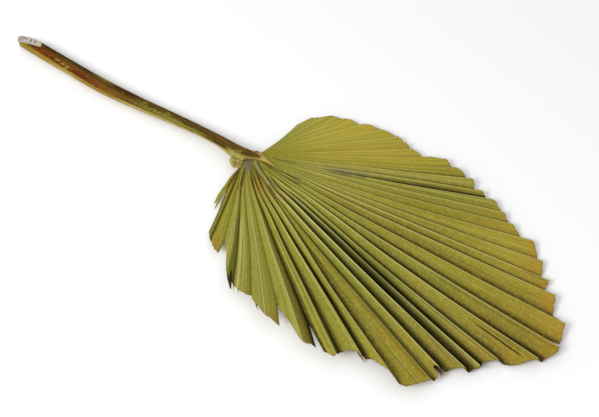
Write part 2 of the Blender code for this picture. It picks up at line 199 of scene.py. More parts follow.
# Each valley's painted shade: how dark it is near the crest and far out, the dark band's width in
# millimetres, how brown its fringe is, how much of the dark shows on the face that rises from the
# valley, how much of it is left at the leaf's edge, and how far from the crest it starts.
VALLEY_SHADE = np.array((
    (0.2, 0.2, 0.6, 0.0, 0.3, 1.0, 6), (0.95, 0.9, 3.0, 0.8, 1.0, 1.0, 8),
    (0.9, 0.9, 1.5, 0.4, 0.9, 0.8, 6), (0.4, 0.4, 1.2, 0.0, 0.4, 1.0, 6),
    (0.85, 0.8, 3.4, 0.0, 0.2, 1.0, 8), (0.3, 0.5, 1.0, 0.0, 0.3, 1.0, 6),
    (0.35, 0.4, 1.0, 0.0, 0.3, 1.0, 6), (0.9, 1.0, 3.0, 0.1, 0.7, 1.0, 8),
    (0.95, 0.95, 2.8, 0.3, 0.6, 1.0, 6), (0.95, 1.0, 3.2, 0.4, 0.9, 0.9, 6),
    (0.9, 0.9, 2.4, 0.9, 0.8, 0.4, 6), (0.95, 0.95, 2.6, 0.2, 0.4, 1.0, 14),
    (0.6, 1.0, 5.0, 0.3, 0.8, 1.0, 16), (1.0, 1.0, 6.0, 0.0, 1.0, 0.9, 14),
    (0.9, 1.0, 5.8, 0.1, 1.0, 1.0, 34), (0.75, 1.0, 2.8, 0.9, 0.9, 0.7, 38),
    (0.5, 1.0, 3.3, 0.8, 1.0, 0.7, 38), (0.5, 0.8, 2.4, 0.8, 0.6, 0.8, 26),
    (0.5, 0.6, 2.8, 0.9, 0.55, 0.3, 20), (0.5, 0.65, 2.2, 0.5, 0.55, 0.35, 16),
    (0.6, 0.65, 2.0, 0.6, 0.55, 0.4, 16), (0.5, 0.55, 1.9, 0.6, 0.4, 0.2, 18),
    (0.5, 0.85, 1.4, 0.2, 0.45, 0.8, 14), (0.5, 0.95, 1.5, 0.2, 0.5, 0.7, 14),
    (0.45, 0.65, 1.4, 0.1, 0.45, 0.6, 14), (0.3, 1.0, 2.8, 0.1, 0.95, 1.0, 14),
    (0.3, 0.9, 1.9, 0.8, 0.7, 0.9, 14), (0.3, 1.0, 1.9, 0.4, 0.7, 1.0, 14),
    (0.3, 0.7, 1.4, 0.2, 0.4, 0.6, 14), (0.2, 0.45, 1.2, 0.4, 0.4, 0.6, 14),
    (0.15, 0.25, 1.0, 0.5, 0.4, 0.5, 14), (0.15, 0.25, 1.0, 0.3, 0.4, 0.5, 14),
    (0.15, 0.2, 0.8, 0.1, 0.4, 0.5, 14), (0.15, 0.2, 0.8, 0.3, 0.4, 0.5, 14),
    (0.15, 0.2, 0.8, 0.1, 0.4, 0.5, 14), (0.15, 0.2, 0.8, 0.1, 0.4, 0.5, 14),
    (0.1, 0.15, 0.6, 0.1, 0.4, 0.5, 14), (0.1, 0.15, 0.6, 0.1, 0.4, 0.5, 14)))
# Each pleat's look: its pale green, ochre and brown tint, the rust on the face behind its rib, and
# how pale the rib is. All from 0 to 1.
FINISH = np.array((
    (0.2, 0.3, 0.1, 0.2, 0.3), (0.1, 0.2, 0.35, 0.3, 0.2), (0.3, 0.3, 0.1, 0.1, 0.1),
    (0.9, 0.0, 0.0, 0.0, 0.3), (0.7, 0.1, 0.0, 0.0, 0.4), (0.7, 0.0, 0.0, 0.1, 0.6),
    (0.7, 0.1, 0.0, 0.2, 0.6), (0.3, 0.2, 0.1, 0.4, 0.5), (0.4, 0.1, 0.1, 0.5, 0.6),
    (0.4, 0.1, 0.0, 0.6, 0.5), (0.3, 0.15, 0.25, 0.3, 0.2), (0.5, 0.1, 0.0, 0.2, 0.7),
    (0.8, 0.0, 0.0, 0.0, 1.0), (0.9, 0.0, 0.0, 0.0, 1.0), (0.5, 0.0, 0.1, 0.7, 0.7),
    (0.3, 0.2, 0.0, 0.1, 1.0), (0.3, 0.0, 0.1, 0.8, 0.6), (0.2, 0.2, 0.0, 0.9, 0.5),
    (0.2, 0.2, 0.1, 0.2, 0.7), (0.2, 0.2, 0.1, 0.4, 0.7), (0.2, 0.3, 0.0, 0.4, 0.6),
    (0.2, 0.4, 0.0, 0.2, 0.5), (0.1, 0.1, 0.06, 0.1, 0.5), (0.2, 0.0, 0.08, 0.1, 0.5),
    (0.5, 0.0, 0.06, 0.2, 0.5), (0.4, 0.0, 0.12, 0.5, 0.4), (0.7, 0.1, 0.0, 0.4, 0.5),
    (0.1, 0.1, 0.05, 0.3, 0.3), (0.1, 0.5, 0.0, 0.3, 0.2), (0.1, 0.7, 0.0, 0.3, 0.15),
    (0.1, 0.6, 0.05, 0.2, 0.15), (0.1, 0.8, 0.0, 0.1, 0.2), (0.1, 0.6, 0.05, 0.0, 0.8),
    (0.1, 0.8, 0.0, 0.0, 1.0), (0.3, 0.6, 0.05, 0.0, 0.9), (0.7, 0.4, 0.0, 0.0, 0.7),
    (0.9, 0.2, 0.0, 0.0, 0.4)))
# Fine lines along the pleats: pleat, its place across at both ends, radius at both ends, half
# width, and from -1 for a black line to 1 for a cream one.
LINES = (
    (3, 0.30, 0.34, 60, 110, 0.7, 0.25), (3, 0.74, 0.74, 50, 112, 2.2, -0.30),
    (4, 0.30, 0.43, 66, 126, 0.5, -0.35), (4, 0.16, 0.22, 50, 124, 1.6, 0.45),
    (4, 0.62, 0.68, 50, 126, 0.5, 0.25), (5, 0.40, 0.41, 80, 150, 0.4, -0.30),
    (5, 0.30, 0.33, 70, 140, 0.5, 0.25), (5, 0.60, 0.62, 60, 150, 0.4, 0.25),
    (6, 0.42, 0.43, 60, 175, 0.5, 0.30), (6, 0.30, 0.28, 90, 165, 0.4, -0.25),
    (6, 0.78, 0.78, 60, 170, 0.5, 0.25), (7, 0.30, 0.30, 70, 190, 0.5, 0.35),
    (7, 0.52, 0.50, 60, 188, 0.5, -0.35), (8, 0.35, 0.35, 50, 190, 0.4, -0.20),
    (8, 0.70, 0.68, 60, 195, 0.5, 0.35), (9, 0.55, 0.5, 50, 200, 0.4, 0.20),
    (10, 0.06, 0.38, 66, 112, 0.7, -0.75), (10, 0.38, 0.46, 108, 238, 0.5, -0.60),
    (10, 0.42, 0.50, 150, 238, 0.4, 0.35), (10, 0.78, 0.80, 60, 236, 1.6, -0.25),
    (11, 0.06, 0.06, 130, 236, 0.6, 0.40), (11, 0.45, 0.4, 60, 234, 0.4, -0.15),
    (12, 0.78, 0.76, 180, 244, 0.4, -0.50), (12, 0.66, 0.62, 205, 242, 0.4, -0.40),
    (12, 0.45, 0.45, 90, 200, 0.4, 0.15), (13, 0.42, 0.40, 130, 250, 0.5, -0.55),
    (13, 0.68, 0.66, 150, 250, 0.4, 0.20), (14, 0.74, 0.72, 110, 258, 0.4, -0.40),
    (14, 0.60, 0.60, 150, 256, 0.4, 0.25), (14, 0.86, 0.88, 236, 260, 1.0, -0.80),
    (15, 0.62, 0.60, 222, 268, 0.8, -1.0), (15, 0.75, 0.74, 230, 274, 0.4, -0.60),
    (15, 0.83, 0.82, 238, 276, 0.35, -0.60), (15, 0.40, 0.36, 120, 262, 0.4, -0.15),
    (16, 0.12, 0.14, 236, 284, 0.6, -0.80), (16, 0.20, 0.20, 252, 282, 0.4, -0.55),
    (16, 0.64, 0.66, 170, 286, 1.4, -0.25), (16, 0.42, 0.40, 120, 280, 0.4, -0.15),
    (17, 0.90, 0.90, 256, 272, 0.9, -0.70), (17, 0.42, 0.44, 140, 280, 0.4, 0.15),
    (18, 0.40, 0.40, 150, 262, 0.4, -0.20), (19, 0.72, 0.70, 228, 254, 1.2, -0.35),
    (20, 0.55, 0.55, 120, 244, 0.4, -0.15), (21, 0.40, 0.40, 140, 236, 0.4, 0.20),
    (22, 0.55, 0.50, 100, 215, 0.4, -0.20), (23, 0.50, 0.50, 100, 206, 0.4, -0.20),
    (24, 0.40, 0.36, 100, 202, 0.4, -0.45), (24, 0.62, 0.60, 120, 198, 0.5, 0.30),
    (24, 0.76, 0.74, 110, 196, 0.4, -0.40), (25, 0.45, 0.45, 90, 187, 0.4, -0.20),
    (26, 0.10, 0.14, 140, 182, 1.0, -0.45), (26, 0.50, 0.50, 100, 180, 0.5, 0.25),
    (27, 0.50, 0.50, 90, 170, 0.4, -0.25), (28, 0.50, 0.50, 80, 158, 0.4, -0.20),
    (29, 0.55, 0.50, 60, 138, 0.4, -0.20), (30, 0.5, 0.5, 60, 130, 0.4, -0.15),
    (32, 0.45, 0.45, 60, 118, 0.4, 0.20), (33, 0.50, 0.50, 50, 108, 0.4, -0.15),
    (34, 0.40, 0.40, 50, 96, 0.4, 0.20), (35, 0.50, 0.50, 40, 86, 0.4, -0.12))


# How high the valleys stand at the crest, how far that height spreads, and how much they rise
# towards the far side, the near side and the tip.
CREST_HEIGHT = 8.5
CREST_SPREAD = 55.0
FAR_RISE = 5.0
NEAR_RISE = 8.0
TIP_RISE = 2.5


def lift(x, y):
    """Height of the valleys: crest height times exp(-(r/spread)^2), and rises at sides and tip."""
    side = np.clip((np.abs(y) - 40.0) / 60.0, 0.0, None)
    raised = CREST_HEIGHT * np.exp(-(x * x + y * y) / CREST_SPREAD ** 2)
    raised = raised + np.where(y > 0, FAR_RISE, NEAR_RISE) * side ** 1.6
    return raised + TIP_RISE * np.clip((x - 190.0) / 95.0, 0.0, None) ** 2


def through(x, places, values):
    """Smooth curve through values at places: cubic between them, slopes from their neighbours."""
    at = np.clip(x, places[0], places[-1])
    near = np.clip(np.searchsorted(places, at) - 1, 0, len(places) - 2)
    gap = places[near + 1] - places[near]
    part = (at - places[near]) / gap
    slopes = np.gradient(values, places)
    low = values[near]
    high = values[near + 1]
    bend = part * (1 - part) ** 2 * slopes[near] - part * part * (1 - part) * slopes[near + 1]
    return low + (high - low) * part * part * (3 - 2 * part) + bend * gap


LEAD_IN = 6.0


def fold_line(angle, nominal, distance):
    """Points on one fold line: a smooth curve from its start through its turns to its end.

    The end is the polar point (nominal, angle); a point lies about as far from the crest as the
    distance asked for. Before its start the line is carried straight back by the lead-in.
    """
    aside = np.array([math.cos(math.radians(angle)), math.sin(math.radians(angle))])
    start = np.array([np.interp(angle, GATHER[:, 0], GATHER[:, 1]),
                      np.interp(angle, GATHER[:, 0], GATHER[:, 2])])
    base = float(start @ aside)
    radii = [radius for radius in TURN_RADII if radius < 0.82 * nominal]
    spots_on = [start]
    for number, radius in enumerate(radii):
        turn = math.radians(np.interp(angle, TURNS[:, 0], TURNS[:, number + 1]))
        spots_on.append(radius * np.array([math.cos(turn), math.sin(turn)]))
    spots_on.append(nominal * aside)
    towards = spots_on[1] - spots_on[0]
    spots_on.insert(0, start - LEAD_IN * towards / np.linalg.norm(towards))
    places = np.array([base - LEAD_IN, base] + radii + [nominal])
    spots_on = np.array(spots_on)
    inside = np.minimum(distance, nominal)
    beyond = (distance - inside)[:, None] * aside
    curve = np.stack([through(inside, places, spots_on[:, k]) for k in range(2)], -1)
    return curve + beyond


# The leaf's grid. The columns lie across each pleat, up its near side and down its far side. The
# rows run out from the crest: shared rows up to the pleat's knee, where it parts from its
# neighbours, and free rows beyond it.
rng = np.random.default_rng(41)
near_side = np.array([0.0, 0.05, 0.14, 0.30, 0.48, 0.66, 0.82, 0.93, 1.0])
far_side = np.array([0.10, 0.32, 0.62, 0.88, 1.0])
SHARED_ROWS = 66
FREE_ROWS = 14
ROW_CROWDING = 1.12
KNEE_BACK = 1.5
KNEE_SPREAD = 2.5
RAGGED = 0.55
RELIEF_REACH = 85.0
RIB_BEAD = 0.20
SHEET_TOP = 0.56
SHEET_THICK = 0.45
HIGHEST = 17.05
valleys = [row[0] for row in PLEATS] + [LAST_VALLEY]
columns = len(near_side) + len(far_side)
rows = SHARED_ROWS + FREE_ROWS + 1
knees = []
nominals = []
for number in range(len(valleys)):
    before = PLEATS[number - 1][3] if number > 0 else PLEATS[0][1]
    after = PLEATS[number][1] if number < len(PLEATS) else PLEATS[-1][3]
    nominals.append(max(before, after))
    knee = min(before, after) - KNEE_BACK - KNEE_SPREAD * rng.random()
    if number in SPLITS:
        knee = SPLITS[number][0]
    knees.append(knee)

# Values that the leaf's material reads on every corner: the place across all pleats, millimetres
# from the rib and from the valley on each side, how dark the painted shade in those valleys is and
# how wide it is, millimetres from the cut end and from the crest, how pale the rib and how brown the
# end is, and up to four fine lines, each with its ink.
SLOTS = 4
grids = []
fields = {name: [] for name in (
    "fold", "crest", "rise", "fall", "dark_in", "dark_out", "band", "band_out", "margin", "reach",
    "ribs", "singed")}
for slot_number in range(SLOTS):
    fields["line%d" % slot_number] = []
    fields["ink%d" % slot_number] = []
behind_rib = []
beyond_ribs = []
shade_fringe = []
for number, (first, long_in, long_rib, long_out, corner_at, relief, rib_at) in enumerate(PLEATS):
    last = valleys[number + 1]
    rib = first + (last - first) * rib_at
    angle = np.concatenate((first + (rib - first) * near_side, rib + (last - rib) * far_side))
    corner = first + (last - first) * corner_at
    # The cut end runs nearly straight from valley to corner to valley, a little ragged all along.
    inverse = np.interp(angle, (first, corner, last), (1 / long_in, 1 / long_rib, 1 / long_out))
    length = 1.0 / inverse - RAGGED * np.abs(rng.standard_normal(columns))
    share = np.concatenate((rib_at * near_side, rib_at + (1.0 - rib_at) * far_side))[None, :]
    for at, depth, half in NOTCHES.get(number, ()):
        length = length - depth * np.exp(-((share[0] - at) / half) ** 4)
    # The pleat parts from its neighbours at its knee, short of the end.
    knee = np.interp(angle, (first, last), (knees[number], knees[number + 1]))
    knee = np.minimum(knee, length - 1.0)
    knee[0] = knees[number]
    knee[-1] = knees[number + 1]
    # Rows run along the fold lines, closer together towards the crest.
    inner = (np.arange(SHARED_ROWS + 1) / SHARED_ROWS) ** ROW_CROWDING
    outer = np.arange(1, FREE_ROWS + 1) / FREE_ROWS
    nominal = np.interp(angle, (first, last), nominals[number:number + 2])
    turn = np.radians(angle)
    base = (np.interp(angle, GATHER[:, 0], GATHER[:, 1]) * np.cos(turn)
            + np.interp(angle, GATHER[:, 0], GATHER[:, 2]) * np.sin(turn)) - LEAD_IN
    distance = np.concatenate((base + (knee - base) * inner[:, None],
                               knee + (length - knee) * outer[:, None]))
    lines = [fold_line(angle[k], nominal[k], distance[:, k]) for k in range(columns)]
    x = np.stack([line[:, 0] for line in lines], -1)
    y = np.stack([line[:, 1] for line in lines], -1)
    # Past the knee it stands off them by a hair, or by the width of a split.
    past = np.concatenate((0 * inner, outer))[:, None]
    gap_in = SPLITS.get(number, (0, 0.0, 0.06))[2] if number > 0 else 0.0
    gap_out = SPLITS.get(number + 1, (0, 0.06, 0.0))[1] if number + 1 < len(PLEATS) else 0.0
    weight = np.concatenate((gap_in * (1.0 - near_side) ** 1.5, -gap_out * far_side ** 1.5))
    shift = weight[None, :] * past
    x = x - np.sin(turn)[None, :] * shift
    y = y + np.cos(turn)[None, :] * shift
    # It rises to its rib, less so near the crest, and sways a little along its length.
    reach = np.hypot(x, y)
    shape = np.concatenate((near_side + 0.07 * np.sin(np.pi * near_side), 1.0 - far_side))
    height = relief * (1.0 - np.exp(-(reach / RELIEF_REACH) ** 1.35)) * shape[None, :]
    sway = 0.3 * np.sin(reach / (31.0 + 9.0 * rng.random()) + 6.28 * rng.random())
    belly = np.sin(np.pi * np.clip(shape, 0, 1) ** 1.5)
    height = height + sway * np.clip(reach / 120.0, 0, 1) * belly[None, :]
    bead = np.zeros(columns)
    bead[len(near_side) - 1] = RIB_BEAD
    height = height + bead[None, :] * np.clip(reach / 40.0, 0, 1)
    z = np.minimum(lift(x, y) + height + SHEET_TOP, HIGHEST)
    grids.append(np.stack((x, y, z), -1))

    # What the material reads, with the pleat's width at each point as the pitch.
    pitch = reach * math.radians(last - first)
    beyond_rib = np.concatenate((np.zeros(len(near_side)), far_side))[None, :] + 0 * reach
    fields["fold"].append(number + share + 0 * reach)
    fields["crest"].append((share - rib_at) * pitch)
    fields["rise"].append(share * pitch)
    fields["fall"].append((1.0 - share) * pitch)
    # The painted shade in the valleys on each side of the pleat: it grows going out from the crest, only
    # part of it is left at the leaf's edge, and its band widens going out.
    out_by = np.clip((reach - 20.0) / 26.0, 0, 1)
    edge_by = np.clip((reach / length[None, :] - 0.6) / 0.32, 0, 1)
    for name, look, part in (("dark_in", VALLEY_SHADE[number], VALLEY_SHADE[number, 4]),
                             ("dark_out", VALLEY_SHADE[number + 1], 1.0)):
        dark = (look[0] + (look[1] - look[0]) * out_by) * (1.0 + (look[5] - 1.0) * edge_by)
        fields[name].append(part * dark * np.clip((reach - look[6]) / 9.0, 0, 1))
    widening = 0.12 + 0.88 * np.clip((reach - 30.0) / 115.0, 0, 1) ** 1.2
    fields["band"].append(VALLEY_SHADE[number, 2] * widening)
    fields["band_out"].append(1.0 + 1.6 * VALLEY_SHADE[number + 1, 2] * widening)
    fields["margin"].append(length[None, :] - distance)
    fields["reach"].append(reach)
    fields["ribs"].append(FINISH[number, 4] * np.clip((reach - 14.0) / 40.0, 0, 1))
    near_tip = np.exp(-((angle[None, :] - 4.0) / 15.0) ** 2)
    fields["singed"].append(0.12 + 0.36 * near_tip + 0 * reach)
    drawn = [line for line in LINES if line[0] == number]
    drawn += [(number, at, at, 30 + 60 * rng.random(), 300, 0.3, ink) for at, ink in
              zip(0.15 + 0.75 * rng.random(SLOTS), (-0.22, 0.2, -0.18, 0.16))]
    for slot_number in range(SLOTS):
        _, at_start, at_end, reach_start, reach_end, half, ink = drawn[slot_number]
        part = np.clip((reach - reach_start) / (reach_end - reach_start), 0, 1)
        off = (share - (at_start + (at_end - at_start) * part)) * pitch / half
        shown = (np.clip((reach - reach_start) / 8.0, 0, 1)
                 * np.clip((reach_end - reach) / 4.0, 0, 1))
        fields["line%d" % slot_number].append(off)
        fields["ink%d" % slot_number].append(ink * shown)
    behind_rib.append(FINISH[number, 3] * beyond_rib ** 0.5)
    beyond_ribs.append(beyond_rib ** 0.5)
    # The brown fringe of the valleys' painted shade: near the valley on the rising face, and over the face
    # behind the rib.
    near_band = np.exp(-share * pitch / (1.0 + VALLEY_SHADE[number, 2])) * VALLEY_SHADE[number, 3]
    far_band = VALLEY_SHADE[number + 1, 3] * beyond_rib
    shade_fringe.append(np.maximum(near_band, far_band) * np.clip((reach - 40.0) / 90.0, 0.15, 1))

# Neighbouring pleats share their valley's points as far as its knee and part beyond it.
ids = np.zeros((len(PLEATS), rows, columns), int)
count = 0
for number in range(len(PLEATS)):
    fresh = np.ones((rows, columns), bool)
    if number > 0:
        fresh[:SHARED_ROWS + 1, 0] = False
        ids[number, :SHARED_ROWS + 1, 0] = ids[number - 1, :SHARED_ROWS + 1, -1]
    ids[number][fresh] = count + np.arange(fresh.sum())
    count += int(fresh.sum())
top = np.zeros((count, 3))
for number in range(len(PLEATS)):
    top[ids[number].ravel()] = grids[number].reshape(-1, 3)


def corners(grid):
    """The four corner values of every quad in each pleat's grid, in the order the quads use."""
    return np.stack((grid[:, :-1, :-1], grid[:, 1:, :-1], grid[:, 1:, 1:], grid[:, :-1, 1:]), 3)


quads = corners(ids).reshape(-1, 4)
edges = np.concatenate([quads[:, [0, 1]], quads[:, [1, 2]], quads[:, [2, 3]], quads[:, [3, 0]]])
keys = edges.min(1).astype(np.int64) * count + edges.max(1)
unique, where, times = np.unique(keys, return_index=True, return_counts=True)
rim = edges[where[times == 1]]
walls = np.stack((rim[:, 1], rim[:, 0], rim[:, 0] + count, rim[:, 1] + count), -1)
under = top - np.array([0.0, 0.0, SHEET_THICK])
blade_faces = np.concatenate((quads, quads[:, ::-1] + count, walls))
blade_points = np.concatenate((top, under))


def on_corners(grid, beneath=1.0):
    """A field on all corners of the blade: upper face, lower face (scaled by beneath) and rim."""
    grid = np.asarray(grid, float)
    extra = grid.shape[3:]
    upper = corners(grid).reshape((-1, 4) + extra)
    at_points = np.zeros((count,) + extra)
    for number in range(len(PLEATS)):
        at_points[ids[number].ravel()] = grid[number].reshape((-1,) + extra)
    side = at_points[rim[:, [1, 0, 0, 1]]]
    return np.concatenate((upper, upper[:, ::-1] * beneath, side)).reshape((-1,) + extra)


def node(tree, kind, **settings):
    """New shader node with its properties set."""
    made = tree.nodes.new(kind)
    for name, value in settings.items():
        setattr(made, name, value)
    return made


def put(tree, socket, value):
    """Link an output to a socket, or set the socket's own value."""
    if isinstance(value, bpy.types.NodeSocket):
        tree.links.new(value, socket)
    else:
        socket.default_value = value


def field(tree, name):
    """Value of a mesh attribute."""
    return node(tree, "ShaderNodeAttribute", attribute_name=name).outputs["Fac"]


def calc(tree, operation, first, second=0.0, third=0.0):
    """Result of one named operation on up to three values."""
    made = node(tree, "ShaderNodeMath", operation=operation)
    put(tree, made.inputs[0], first)
    put(tree, made.inputs[1], second)
    put(tree, made.inputs[2], third)
    return made.outputs[0]


def product(tree, first, second):
    """Two values multiplied."""
    return calc(tree, "MULTIPLY", first, second)


def fall_off(tree, value, power):
    """A value's fall-off: exp(-value^power)."""
    return calc(tree, "EXPONENT", product(tree, calc(tree, "POWER", value, power), -1.0))


def step(tree, value, low, high, start=0.0, end=1.0):
    """Smooth step of a value from start at low to end at high."""
    made = node(tree, "ShaderNodeMapRange", interpolation_type="SMOOTHSTEP")
    put(tree, made.inputs["Value"], value)
    limits = (("From Min", low), ("From Max", high), ("To Min", start), ("To Max", end))
    for name, limit in limits:
        made.inputs[name].default_value = limit
    return made.outputs["Result"]


def mix(tree, factor, first, second):
    """Two colours mixed: the first at factor 0, the second at 1."""
    made = node(tree, "ShaderNodeMix", data_type="RGBA", blend_type="MIX")
    put(tree, made.inputs[0], factor)
    put(tree, made.inputs[6], first)
    put(tree, made.inputs[7], second)
    return made.outputs[2]


def laid_over(tree, colour, ink, value, low, high, most):
    """Colour with an ink over it, from none where the value is low to most where it is high."""
    return mix(tree, step(tree, value, low, high, 0.0, most), colour, ink)


def stored_tint(tree):
    """Colour stored on the mesh as its attribute tint."""
    return node(tree, "ShaderNodeAttribute", attribute_name="tint").outputs["Color"]


def own_place(tree):
    """The piece's own coordinates, in metres."""
    return node(tree, "ShaderNodeTexCoord").outputs["Object"]


def noise(tree, where_at, scale, detail, rough):
    """Noise value from 0 to 1 at a vector."""
    made = node(tree, "ShaderNodeTexNoise")
    put(tree, made.inputs["Vector"], where_at)
    made.inputs["Scale"].default_value = scale
    made.inputs["Detail"].default_value = detail
    made.inputs["Roughness"].default_value = rough
    return made.outputs["Fac"]


def along_pleats(tree, across_by, along_by, detail, rough):
    """Noise drawn out along the pleats, read at (pleats across, reach), each times its factor."""
    where_at = node(tree, "ShaderNodeCombineXYZ")
    put(tree, where_at.inputs[0], product(tree, field(tree, "fold"), across_by))
    put(tree, where_at.inputs[1], product(tree, field(tree, "reach"), along_by))
    return noise(tree, where_at.outputs[0], 1.0, detail, rough)


def bump(tree, height, strength, distance, normal=None):
    """Bump node's normal."""
    made = node(tree, "ShaderNodeBump")
    made.inputs["Strength"].default_value = strength
    made.inputs["Distance"].default_value = distance
    put(tree, made.inputs["Height"], height)
    if normal is not None:
        put(tree, made.inputs["Normal"], normal)
    return made.outputs["Normal"]


# Leaf colour: the stored tint, mottled and finely lined along the pleats, browner at the cut ends,
# with a pale rib on every pleat and painted shade in the valley on each side of it.
leaf, tree, shader = new_material("dried_leaf", 0.55, 0.22)
margin = field(tree, "margin")
reach = field(tree, "reach")
tint = stored_tint(tree)
place = own_place(tree)
grain = along_pleats(tree, 9.0, 0.035, 4.0, 0.6)
hairs = along_pleats(tree, 34.0, 0.03, 2.0, 0.5)
flecks = along_pleats(tree, 14.0, 0.45, 3.0, 0.7)
swathes = along_pleats(tree, 1.7, 0.014, 3.0, 0.6)
mottle = noise(tree, place, 420.0, 4.0, 0.75)
patches = noise(tree, place, 42.0, 3.0, 0.6)
mustard = mix(tree, 0.5, tint, rgb(160, 144, 36))
colour = laid_over(tree, tint, mustard, patches, 0.45, 0.75, 0.4)
dusky = mix(tree, 0.5, colour, rgb(70, 66, 10))
colour = laid_over(tree, colour, dusky, grain, 0.3, 0.75, 0.5)
colour = laid_over(tree, colour, rgb(166, 164, 72), hairs, 0.5, 0.8, 0.3)
greener = mix(tree, 0.5, colour, rgb(104, 124, 40))
colour = laid_over(tree, colour, greener, swathes, 0.36, 0.62, 0.48)
bare = step(tree, reach, 14.0, 60.0, 0.55, 1.0)
for speckle, low, high, most, ink in ((mottle, 0.45, 0.72, 0.6, rgb(176, 162, 56)),
                                      (flecks, 0.60, 0.78, 0.55, rgb(190, 172, 66))):
    cover = product(tree, bare, step(tree, speckle, low, high, 0.0, most))
    colour = mix(tree, cover, colour, ink)
edge = product(tree, step(tree, margin, 24.0, 0.0), step(tree, grain, 0.3, 0.7))
colour = mix(tree, product(tree, edge, field(tree, "singed")), colour, rgb(176, 118, 28))
from_rib = calc(tree, "ABSOLUTE", calc(tree, "ADD", field(tree, "crest"), 0.15))
on_rib = product(tree, field(tree, "ribs"), step(tree, from_rib, 0.75, 0.25))
colour = mix(tree, on_rib, colour, mix(tree, 0.3, rgb(188, 184, 118), tint))
for slot_number in range(SLOTS):
    from_line = calc(tree, "ABSOLUTE", field(tree, "line%d" % slot_number))
    near_line = step(tree, from_line, 1.0, 0.3)
    ink = field(tree, "ink%d" % slot_number)
    paler = product(tree, near_line, calc(tree, "MAXIMUM", ink, 0.0))
    darker = product(tree, near_line, calc(tree, "MAXIMUM", product(tree, ink, -1.0), 0.0))
    colour = mix(tree, paler, colour, rgb(196, 188, 118))
    colour = mix(tree, darker, colour, rgb(34, 20, 4))
colour = mix(tree, step(tree, margin, 0.8, 0.1, 0.0, 0.6), colour, rgb(104, 72, 26))
# Painted shade in the valleys: a crisp dark crease and a softer hollow on the face that rises from each
# valley, and dark over the steep face behind the rib, dark brown near the crest and near black farther
# out. Where this painted shade lies, the gloss is turned down too.
into = calc(tree, "DIVIDE", field(tree, "rise"), field(tree, "band"))
down = calc(tree, "DIVIDE", field(tree, "fall"), field(tree, "band_out"))
crease = fall_off(tree, product(tree, into, 1.15), 4.0)
hollow = fall_off(tree, into, 2.0)
near_shade = product(tree, field(tree, "dark_in"),
                     calc(tree, "MULTIPLY_ADD", crease, 0.7, product(tree, hollow, 0.3)))
behind = product(tree, calc(tree, "GREATER_THAN", field(tree, "crest"), 0.25),
                 fall_off(tree, down, 1.5))
far_shade = product(tree, field(tree, "dark_out"), behind)
shade = product(tree, calc(tree, "MAXIMUM", near_shade, far_shade),
                step(tree, grain, 0.1, 0.6, 0.82, 1.0))
painted_valley_shade = mix(tree, step(tree, reach, 30.0, 100.0), rgb(42, 26, 5), rgb(16, 11, 2))
colour = mix(tree, shade, colour, painted_valley_shade)
put(tree, shader.inputs["Base Color"], colour)
put(tree, shader.inputs["Specular IOR Level"], calc(tree, "MULTIPLY_ADD", shade, -0.12, 0.13))
veins = bump(tree, hairs, 0.4, 0.0004)
put(tree, shader.inputs["Normal"], bump(tree, mottle, 0.2, 0.0004, veins))

# The leaf shades smoothly on both faces and flat on its rim.
blade = new_object("blade_leaf", blade_points, blade_faces, leaf)
smooth = np.ones(len(blade_faces), bool)
smooth[len(quads) * 2:] = False
blade.data.polygons.foreach_set("use_smooth", smooth)


def lerp(first, second, weight):
    """Colours mixed by a weight a row."""
    return first + (np.asarray(second)[..., :3] - first) * weight[..., None]


def patch(x, y, at_x, at_y, long, wide, turn):
    """Soft elliptical patch: exp(-((u/long)^2 + (v/wide)^2)) about a point, turned by degrees."""
    swing = math.radians(turn)
    u = (x - at_x) * math.cos(swing) + (y - at_y) * math.sin(swing)
    v = -(x - at_x) * math.sin(swing) + (y - at_y) * math.cos(swing)
    return np.exp(-((u / long) ** 2 + (v / wide) ** 2))


def patchwork(x, y, table):
    """Sum of soft patches. For each: strength, place, half length, half width and turn."""
    return sum(strength * patch(x, y, *ellipse) for strength, *ellipse in table)


def stroke(x, y, path, half):
    """Soft stroke: exp(-(d/half)^2), with d the distance to a path of joined straight lines."""
    nearest = np.full(x.shape, 1e9)
    for (ax, ay), (bx, by) in zip(path[:-1], path[1:]):
        run = (bx - ax) ** 2 + (by - ay) ** 2
        part = np.clip(((x - ax) * (bx - ax) + (y - ay) * (by - ay)) / run, 0, 1)
        away = np.hypot(x - ax - part * (bx - ax), y - ay - part * (by - ay))
        nearest = np.minimum(nearest, away)
    return np.exp(-(nearest / half) ** 2)


def polar(turn, radius):
    """Point at an angle in degrees and a radius."""
    return (radius * math.cos(math.radians(turn)), radius * math.sin(math.radians(turn)))


def write_colour(thing, linear, domain="POINT"):
    """Store one colour a vertex, or a corner, on the mesh as its attribute tint, with alpha 1."""
    layer = thing.data.attributes.new("tint", "FLOAT_COLOR", domain)
    with_alpha = np.concatenate((linear, np.ones((len(linear), 1))), 1)
    layer.data.foreach_set("color", with_alpha.astype(np.float32).ravel())


# The tint itself: dry olive green, with ochre, brown and weathered patches over several pleats.
OCHRE_PATCHES = ((0.42, 62, 72, 66, 32, 14), (0.15, 70, 42, 50, 22, 25),
                 (0.52, 235, 40, 60, 28, -30), (0.5, 275, 0, 38, 34, 0),
                 (0.2, 200, -85, 50, 24, -25))
BROWN_PATCHES = ((0.50, 262, -20, 54, 50, 0), (0.28, 200, -66, 56, 30, -25),
                 (0.22, 240, 50, 40, 24, -40), (0.20, 150, 50, 66, 30, 20))
WEATHERED_PATCHES = ((0.04, 16, -34, 40, 34, -50), (0.07, 185, -58, 80, 30, -18),
                     (0.07, 262, -8, 44, 34, 0))
grid_x = np.stack([grid[..., 0] for grid in grids])
grid_y = np.stack([grid[..., 1] for grid in grids])
finish = FINISH[:, None, None, :]
past_crest = np.clip((np.hypot(grid_x, grid_y) - 18.0) / 45.0, 0.15, 1)
ochre = patchwork(grid_x, grid_y, OCHRE_PATCHES) + 0.6 * finish[..., 1] * past_crest
